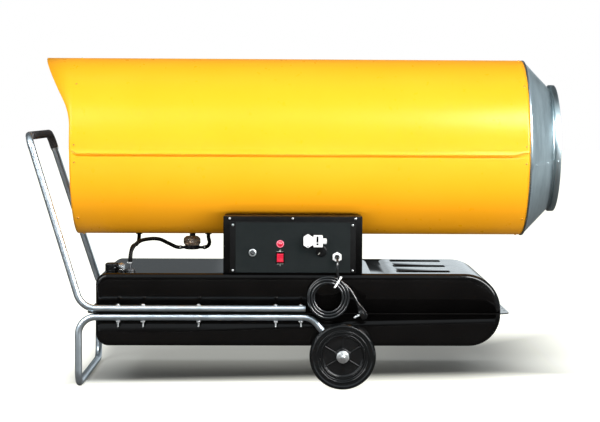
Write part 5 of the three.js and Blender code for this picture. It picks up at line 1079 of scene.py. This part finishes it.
def fuel_gauge():
    centre = (-532, -232, TANK_TOP + 0.4)
    turned_piece("gauge_glass", CLEAR, "fuel_gauge",
                 [(0, 26.6), (6.5, 26.4, 1), (11.2, 22.6, 1.5), (11.3, 6), (10, 6), (9.8, 21.4, 1),
                  (5.5, 24.6), (0, 24.8)], "Z", centre, 40)
    work = bmesh.new()
    turned(work, [(0, 6.4), (10.9, 6.2, 0.4), (13.4, 4.6, 0.6), (13.4, 0)], "Z", centre, steps=40)
    turned(work, [(0, 23.2), (3.6, 22.9, 0.5), (4.4, 19, 0.3), (2.2, 18), (2.2, 5)], "Z", centre, steps=24)
    finished(work, "gauge_base", BLACK_MOULDING)
    turned_piece("gauge_float", CAST_ALLOY, None,
                 [(4.5, 15.2), (7.4, 15.2, 0.4), (7.4, 19.4, 0.4), (4.5, 19.4)], "Z", centre, 24)


def fuel_pickup():
    """The pick-up flange with three screws and two hose tails."""
    x, y, foot = PICKUP_X, -205, TANK_TOP + 0.3
    work = bmesh.new()
    turned(work, [(0, 7), (6, 7, 0.8), (8, 6, 0.6), (15.4, 5.8, 0.8), (15.9, 0.2), (15, 0)], "Z",
           (x, y, foot), steps=40)
    for angle in (0, 120, 240):
        turned(work, [(0, 8.4), (1.4, 8.2), (2.3, 7.4), (2.4, 5.5)], "Z",
               (x + 12 * cos(radians(angle)), y + 12 * sin(radians(angle)), foot), steps=14)
    for tail in HOSE_TAILS_Y:
        turned(work, [(0, 364), (3.2, 364), (4, 361), (3.4, 360.6), (4.1, 357), (3.6, 356.6), (4, 353),
                      (4, foot + 5)], "Z", (x, tail, 0), steps=20)
    finished(work, "pickup_flange", DARK_STEEL, "fuel_pickup", slot="fastener_zinc")


# ---------------------------------------------------------------- frame tubes



def both_sides(*corners):
    """A tube's corners on the panel side, and the same ones back on the far side."""
    return [*corners, *[((x, -y, z), radius) for (x, y, z), radius in reversed(corners)]]


HANDLE_CORNERS = both_sides(((24, -RAIL_Y, HANDLE_RAIL_Z), 0), ((-646, -RAIL_Y, HANDLE_RAIL_Z), 60),
                            ((-809, -258, 752), 38))
FOOT_CORNERS = both_sides(((WHEEL_X, -RAIL_Y, WHEEL_Z), 0), ((42, -RAIL_Y, FOOT_RAIL_Z), 50),
                          ((-655, -RAIL_Y, FOOT_RAIL_Z), 52), ((-655, -RAIL_Y, TUBE_RADIUS), 40))


def handle_tube():
    work = bmesh.new()
    swept(work, bent_path(HANDLE_CORNERS), TUBE_RADIUS, sides=28)
    for y in (-RAIL_Y, RAIL_Y):
        turned(work, [(0, 25.4), (5, 25.4, 0.8), (8.8, 24.6, 0.6), (9.4, 23.6, 0.3), (9.4, 20)], "X",
               (0, y, HANDLE_RAIL_Z), steps=28)
    finished(work, "handle_bar", TUBE_ZINC, "handle_tube")


def handle_grip():
    """The sleeve on the crossbar, round the far bend, with two bright rings past its end."""
    path = bent_path(HANDLE_CORNERS)
    near_end, far_end = 2 * (BEND_STEPS + 1), 3 * (BEND_STEPS + 1)
    leg, run_past_bend = (path[far_end + 1] - path[far_end]).normalized(), 14
    end = path[far_end] + leg * run_past_bend
    work, rings = bmesh.new(), bmesh.new()
    swept(work, [*path[near_end:far_end + 1], end], 12.75, sides=32)
    rounded(work, folds(work, 60), 0.8, 2)
    finished(work, "grip_sleeve", GRIP_FOAM, "handle_grip")
    swept(rings, [end + leg * 0.5, end + leg * 4.5], 12.2, sides=32)
    swept(rings, [end + leg * 6.0, end + leg * 8.5], 11.6, sides=32)
    rounded(rings, folds(rings, 60), 0.7, 2)
    finished(rings, "grip_ring", FASTENER_ZINC)


def foot_tube():
    """The bent foot with its flattened axle eyes."""
    work = bmesh.new()
    swept(work, bent_path(FOOT_CORNERS), TUBE_RADIUS, sides=28)
    for y in (-RAIL_Y, RAIL_Y):
        turned(work, [(8.4, -9), (15.6, -9, 1.2), (17, -7.4, 0.8), (17, 7.4, 0.8), (15.6, 9, 1.2), (8.4, 9)],
               "Y", (WHEEL_X, y, WHEEL_Z), steps=40, closed=True)
    finished(work, "foot_bar", TUBE_ZINC, "foot_tube")


def clamp_bolt(name, node, x, y):
    """A coach bolt through both rails and the flange: a round head above, a nut and bare thread below."""
    head, foot = (x, y, HANDLE_RAIL_Z + TUBE_RADIUS), (x, y, FOOT_RAIL_Z - TUBE_RADIUS)
    work = bmesh.new()
    turned(work, [(0, 4.2), (2.6, 4.0), (4.8, 2.9), (6.1, 0.9, 0.3), (6.1, 0), (6.1, -1.5)], "Z",
           head, steps=24)
    turned(work, [(3, 1), (7.6, 1), (7.6, -0.9, 0.2), (3, -0.9)], "Z", foot, steps=28)
    hexagon(work, Vector(foot) - Z * 3.2, Z, 6.2, 4.4, 0.6)
    thread, pitch = [(3, -0.5)], 1.1
    for turn in range(15):
        thread += [(3.0, -1.6 - turn * pitch), (2.45, -1.6 - (turn + 0.5) * pitch)]
    turned(work, thread + [(2.6, -18), (0, -18.3)], "Z", foot, steps=16)
    finished(work, name, FASTENER_ZINC, node, crease=40)


# ---------------------------------------------------------------- wheels


def wheel_place(side):
    turn, y = (0, -WHEEL_MIDDLE) if side == "right" else (180, WHEEL_MIDDLE)
    return at((WHEEL_X, y, WHEEL_Z), turn)


def tyre(side):
    """A solid tyre: rounded shoulders, two tread grooves, and rings moulded in its walls."""
    half = 20.8
    outer = [(68.2, -17), (70, -18.6, 1), (74, -18.8), (75.4, -19.9, 0.6), (78, -20, 0.6), (79, -19, 0.4),
             (86, -19.2, 3), (90.4, -half, 1.5), (94.4, -half + 1.2, 2.5), (98.6, -half + 8, 3), (99.3, -8),
             (99.4, -7), (97.4, -6.6, 0.5), (97.4, -5.0, 0.5), (99.5, -4.6)]
    inner = [(radius, -along, *rounding) for radius, along, *rounding in reversed(outer)]
    work = bmesh.new()
    turned(work, [*outer, (99.5, 0), *inner, (68.2, 0)], "Y", steps=120, closed=True)
    moved(work, wheel_place(side))
    finished(work, f"tyre_ring_{side}", TYRE, f"tyre_{side}", body=f"wheel_{side}", crease=32)


def hub(side):
    """Moulded hub: rim, dished web, boss and six ribs on its outer face."""
    work, rib = bmesh.new(), bmesh.new()
    turned(work, [(62.6, -18, 1), (67.6, -18, 1.2), (67.9, -15, 0.5), (67.9, 18, 1), (62.6, 18, 1),
                  (62.2, 2), (58, -3.6, 4), (30, -4, 3), (20.4, -2, 2), (19.4, 21, 1), (9, 21.6, 1),
                  (8.3, 20.6, 0.3), (8.3, -19.6, 0.3), (9, -20.2, 1), (18.6, -20, 1), (19.6, -14, 1),
                  (22, -9.4, 3), (34, -9, 3), (56, -8.6, 4), (61.4, -11, 3)],
           "Y", steps=120, closed=True)
    plate(rib, [(x, y, -2.2, corner) for x, y, corner in (
        (17, -18.6, 0), (17, -8.4, 0), (63, -8.4, 0), (63, -15.4, 0), (54, -13.4, 6), (26, -14.4, 6),
        (21, -18.2, 2))], Z * 4.4)
    rounded(rib, folds(rib, 40), 1.9, 4)
    ringed(work, rib, (0, 0, 0), "Y", 6, 90)
    moved(work, wheel_place(side))
    finished(work, f"hub_moulding_{side}", BLACK_MOULDING, f"wheel_hub_{side}", body=f"wheel_{side}")


def axle():
    """The axle bar with its end nuts, washers and rounded tips."""
    washer_y, tip = 361.15, [(0, 373.4), (4.6, 373.2), (7.0, 371.6), (7.9, 370)]
    centre = (WHEEL_X, 0, WHEEL_Z)
    for side, name, node in ((-1, "end_nut_right", "axle_nut"), (1, "end_nut_left", None)):
        work, face = bmesh.new(), (WHEEL_X, side * washer_y, WHEEL_Z)
        turned(work, [(8.1, 0), (18.8, 0, 0.3), (18.6, side * 0.9, 0.4), (15.5, side * 1.5, 0.8),
                      (14.6, side * 2.4, 0.6), (8.1, side * 2.4)], "Y", face, steps=48, closed=True)
        hexagon(work, Vector(face) + Y * side * 6.0, Y, 12, 7.0, 1.6)
        if side > 0:
            turned(work, [*tip, (7.9, 366)], "Y", centre, steps=32)
        finished(work, name, FASTENER_ZINC, node, slot="fastener_zinc")
    turned_piece("axle_bar", FASTENER_ZINC, "axle", [*[(radius, -y) for radius, y in tip], (7.9, 361)],
                 "Y", centre, 32)


# ---------------------------------------------------------------- fuel lines

HOSE_RADIUS = 5.9
FILTER_X, FILTER_Y, FILTER_BASE = -328, -60, 398
PORT_Z = FILTER_BASE + 6


def hose(name, node, points):
    piece = flexible(name, points, HOSE_RADIUS, 18, HOSE, node)


def hose_clip(work, place, along):
    """A wire spring clip: two coils and their ears."""
    clip, wire = bmesh.new(), 0.6
    for level in (0, 2.6):
        turned(clip, [(HOSE_RADIUS + wire + wire * cos(a), level + wire * sin(a))
                      for a in [step * pi / 4 for step in range(8)]], "Z", steps=28, closed=True)
    block(clip, (6.1, -1.2, -0.4), (9.6, 1.2, 3.0), 0.6)
    added(work, clip, facing(place, along))


def fuel_lines():
    """Tank to filter, filter to pump, and pump back to tank, with their clips and grommets."""
    under, tail_z = AXIS_Z - LOWER_RADIUS, 364.3
    (supply_y, return_y), x, y, z = HOSE_TAILS_Y, PICKUP_X, FILTER_Y, PORT_Z
    hose("supply_hose", "tank_hose", [
        (x, supply_y, tail_z + 0.3), (x, supply_y, tail_z + 18), (x + 4, -199.5, tail_z + 42),
        (x + 20, -173.5, tail_z + 62), (x + 48, -130, under - 10), (x + 80, -100, under - 12),
        (-398.3, -70, 416), (-372.3, y, z), (-360.3, y, z)])
    hose("pump_feed", "feed_hose", [
        (-293.7, y, z), (-287.7, y, z), (-275, -49, 414), (-278, -38, under - 8), (-278, -38, under + 14),
        (-290, -32, under + 60), (-330, -22, 623.7), (-349.7, -14, 659.7), (-349.7, -14, 683.7)])
    hose("pump_return", "return_hose", [
        (x, return_y, tail_z + 0.3), (x, return_y, tail_z + 18), (x + 2, -158.5, tail_z + 46),
        (-496, -90, under - 26), (-494, -42, under - 8), (-494, -38, under + 14), (-474, -82, under + 70),
        (-426, -74, 603.7), (-379.7, -30, 647.7), (-379.7, -20, 669.7), (-379.7, -20, 683.7)])
    clips, grommets = bmesh.new(), bmesh.new()
    for tail in HOSE_TAILS_Y:
        hose_clip(clips, (x, tail, 366.5), Z)
    for clip_x in (-366, -290):
        hose_clip(clips, (clip_x, y, z), X)
    finished(clips, "hose_clips", FASTENER_ZINC)
    hole_y = -38
    hole_z = AXIS_Z - sqrt(LOWER_RADIUS ** 2 - hole_y ** 2)
    for hole_x in (-278, -494):
        turned(grommets, [(6.0, -3), (9.6, -3, 1.2), (10.4, -0.6, 0.4), (8.2, 0.6), (10.2, 1.4), (9.4, 4, 1),
                          (6.0, 4)], "Z", (hole_x, hole_y, hole_z), steps=28, closed=True)
    finished(grommets, "hose_grommets", BLACK_MOULDING)


def fuel_filter():
    """A small in-line filter: black cap with two ports below, amber bowl above, on a strap."""
    x, y, base = FILTER_X, FILTER_Y, FILTER_BASE
    centre, bowl = (x, y, base), (x, y, base + 12)
    work, rib = bmesh.new(), bmesh.new()
    turned(work, [(0, 0), (20, 0, 1), (23.8, 2.4, 1), (23.8, 11.4, 0.6), (0, 11.8)], "Z", centre, steps=48)
    block(rib, (23.2, -1, 2.8), (24.6, 1, 10.8), 0.4, 1)
    ringed(work, rib, centre, "Z", 20, 9)
    for side, reach in ((-1, 32), (1, 34)):
        profile = ((0, reach), (4.4, reach), (4.9, reach - 4), (4.2, reach - 4.4), (4.6, 22))
        turned(work, [(radius, side * along) for radius, along in profile], "X", (x, y, PORT_Z), steps=20)
    block(work, (x - 9, y + 30, base + 2), (x + 9, y + 33, 446.4), 0.5)
    block(work, (x - 9, y + 20, base + 2), (x + 9, y + 32.6, base + 5), 0.5)
    finished(work, "filter_cap", BLACK_MOULDING, "filter_head")
    turned_piece("filter_glass", SMOKY, "filter_bowl",
                 [(0, 0.3), (22, 0.3, 1), (26.6, 8, 3), (26.2, 22, 5), (18, 29.4, 3), (0, 29.8), (0, 28.2),
                  (17, 27.8, 3), (24.6, 21, 5), (25, 9, 3), (21, 2, 1), (0, 1.8)], "Z", bowl, 48)
    pleats = [(0, 2.4), (14, 2.4)]
    for step in range(9):
        pleats += [(15.2, 3 + step * 2.4), (13.2, 4.2 + step * 2.4)]
    turned_piece("filter_element", PAPER, None, pleats + [(14, 25), (0, 25.4)], "Z", bowl, 36)


# ---------------------------------------------------------------- all the pieces

for make in (upper_casing, lower_casing, casing_screws, outlet_cone, combustion_chamber, drive_motor,
             axial_fan, wire_guard, control_housing, control_panel):
    make()
pan_screws("panel_screws", [(x, PANEL_FACE, z) for x in (-194, 166) for z in (351.5, 488.5)])
pan_screws("housing_screws", [(x, -HOUSING_HALF, 508) for x in (-204, -14.5, 175)])
for make in (pilot_lamp, rocker, switch_marks, reset_button, thermostat_connector, thermostat_knob,
             cable_gland):
    make()
tank_half("tank_top_pressing", "tank_upper_shell", TANK_TOP, 34, 108, tank_top_pressings)
tank_half("tank_bottom_pressing", "tank_lower_shell", TANK_BOTTOM, 38, 96)
for make in (seam_flange, drain_plug, filler_cap, fuel_gauge, fuel_pickup, handle_tube, handle_grip,
             foot_tube):
    make()
for bolt_side, bolt_y in (("right", -RAIL_Y), ("left", RAIL_Y)):
    for number, bolt_x in enumerate(BOLTS_X, 1):
        clamp_bolt(f"coach_bolt_{bolt_side}_{number}", f"clamp_bolt_{bolt_side}_{number}", bolt_x, bolt_y)
for wheel_side in ("right", "left"):
    tyre(wheel_side)
    hub(wheel_side)
axle()
fuel_lines()
fuel_filter()

KEPT_FINISHES = {"burner_head": DARK_STEEL, "burner_nozzle": BRASS, "photocell": BLACK_MOULDING,
                 "motor_cradle": FASTENER_ZINC, "motor_shaft": FASTENER_ZINC, "fuel_pump": CAST_ALLOY,
                 "ignition_transformer": DARK_STEEL}
for kept_node, kept_finish in KEPT_FINISHES.items():
    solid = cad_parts[kept_node]
    solid.data.materials.clear()
    solid.data.materials.append(kept_finish)


# ---------------------------------------------------------------- floor and light


def floor():
    """A pale floor that looks white and keeps the heater's shadow, whose outline and lighter back part are
    painted light.
    """
    work = bmesh.new()
    bmesh.ops.create_grid(work, x_segments=1, y_segments=1, size=30)
    mesh = bpy.data.meshes.new("floor")
    work.to_mesh(mesh)
    work.free()
    ground = linked("floor", mesh)
    ground.location.z = -0.0005
    material = bpy.data.materials.new("floor_white")
    graph = Graph(material)
    graph.nodes.clear()
    place = graph.node("TexCoord").outputs["Object"]
    x, y, _ = graph.node("SeparateXYZ", {0: place}).outputs
    slant = graph.node("Math", {0: x, 1: -0.15, 2: y}, operation="MULTIPLY_ADD").outputs[0]

    def ranged(*numbers):
        return graph.ranged(*numbers, "SMOOTHSTEP")

    def glowing(colour, glow, strength):
        matt = graph.node("BsdfDiffuse", {"Color": (*colour, 1)})
        light = graph.node("Emission", {"Color": (*glow, 1), "Strength": strength})
        return graph.node("AddShader", {0: matt.outputs[0], 1: light.outputs[0]}).outputs[0]

    # Painted light for the eye: beyond a slanted, boxed outline the floor glows white, which draws the edge
    # of the heater's shadow, and a painted glow lightens the shadow behind the heater.
    painted_white_beyond_shadow = graph.joined("MAXIMUM", ranged(slant, 0.0, -0.25, 0.02, 1.0), ranged(x, -0.6, -0.78, 0, 1.0),
                          ranged(x, 0.6, 1.15, 0, 1.0), ranged(y, 0.6, 1.3, 0, 1.0))
    painted_glow_behind = graph.joined("MULTIPLY", ranged(y, -0.05, 0.35, 0, 0.15), ranged(x, -0.1, 0.5, 1, 0.1))
    seen = glowing((0.57, 0.585, 0.56), (1.0, 1.0, 0.9), graph.joined("ADD", painted_white_beyond_shadow, painted_glow_behind))
    # To other rays the floor glows to the right of the heater and lights it, painted light from a floor that
    # is no lamp.
    unseen = glowing((0.14, 0.135, 0.13), (0.9, 0.97, 1.0), ranged(x, 0.8, 3.0, 0, 0.6))
    to_camera = graph.node("LightPath").outputs["Is Camera Ray"]
    graph.node("OutputMaterial", {"Surface": graph.mixed(to_camera, unseen, seen)})
    mesh.materials.append(material)


def sky():
    """White to the eye, soft light for matt surfaces, and for gloss a studio that is pale in front."""
    world = bpy.data.worlds.new("studio")
    bpy.context.scene.world = world
    graph = Graph(world)
    graph.nodes.clear()
    ranged, joined = graph.ranged, graph.joined
    direction = graph.node("TexCoord").outputs["Generated"]
    x, y, z = graph.node("SeparateXYZ", {0: direction}).outputs
    front = joined("MULTIPLY", ranged(y, 0.15, -0.35, 0.10, 1.1), ranged(x, 0.35, 0.85, 1.0, 0.6),
                   ranged(y, -0.94, -0.985, 1.0, 0.05))
    beside = joined("MULTIPLY", ranged(x, 0.25, 0.6, 0, 0.66), ranged(z, 0.0, 0.5, 1, 0.75))
    low_behind = joined("MULTIPLY", ranged(y, 0.3, 0.6, 0, 1), ranged(z, 0.24, 0.14, 0, 1),
                        ranged(x, -0.03, 0.05, 0.16, 1.15))

    def background(colour, strength):
        return graph.node("Background", {"Color": (*colour, 1), "Strength": strength}).outputs[0]

    path = graph.node("LightPath").outputs
    lit = graph.mixed(path["Is Glossy Ray"], background((0.94, 0.97, 1.0), 0.2),
                      background((0.86, 0.95, 1.0), joined("MAXIMUM", front, beside, low_behind)))
    eye = joined("MAXIMUM", path["Is Camera Ray"], path["Is Transmission Ray"])
    graph.node("OutputWorld", {"Surface": graph.mixed(eye, lit, background((1, 1, 1), 1.0))})


def softbox(name, place, target, size, power, roll=0, gloss_only=False):
    """A rectangular lamp that lights the heater and stays out of its gloss, or the other way round."""
    lamp = bpy.data.lights.new(name, "AREA")
    lamp.shape = "RECTANGLE"
    lamp.size, lamp.size_y = size
    lamp.energy = power
    stand = linked(name, lamp)
    stand.location = place
    aim = (Vector(target) - Vector(place)).to_track_quat("-Z", "Y").to_matrix()
    stand.rotation_euler = (aim @ Matrix.Rotation(radians(roll), 3, "Z")).to_euler()
    stand.visible_camera = False
    stand.visible_glossy = gloss_only
    stand.visible_diffuse = not gloss_only


floor()
sky()
softbox("key_light", (-0.3, -3.7, 3.9), (0, 0, 0.7), (6.0, 1.3), 312)
softbox("top_light", (0, 0.3, 3.6), (0, 0, 0.7), (4.0, 0.8), 25)
softbox("low_front_light", (0, -4.4, 0.2), (0, 0, 0.6), (4.0, 0.4), 122)
softbox("floor_light", (0, -1.25, 0.03), (0, -0.1, 0.6), (2.6, 0.4), 7)
softbox("low_right_light", (1.7, -2.7, 0.2), (0.5, 0, 0.6), (1.2, 0.4), 22)
softbox("right_strip", (1.93, -1.96, 1.83), (0.65, -0.3, 0.3), (0.8, 2.4), 220, roll=45, gloss_only=True)
softbox("left_strip", (-1.93, -1.96, 1.83), (-0.65, -0.3, 0.3), (0.6, 2.0), 60, roll=-45, gloss_only=True)

bpy.context.scene.view_settings.view_transform = "Standard"
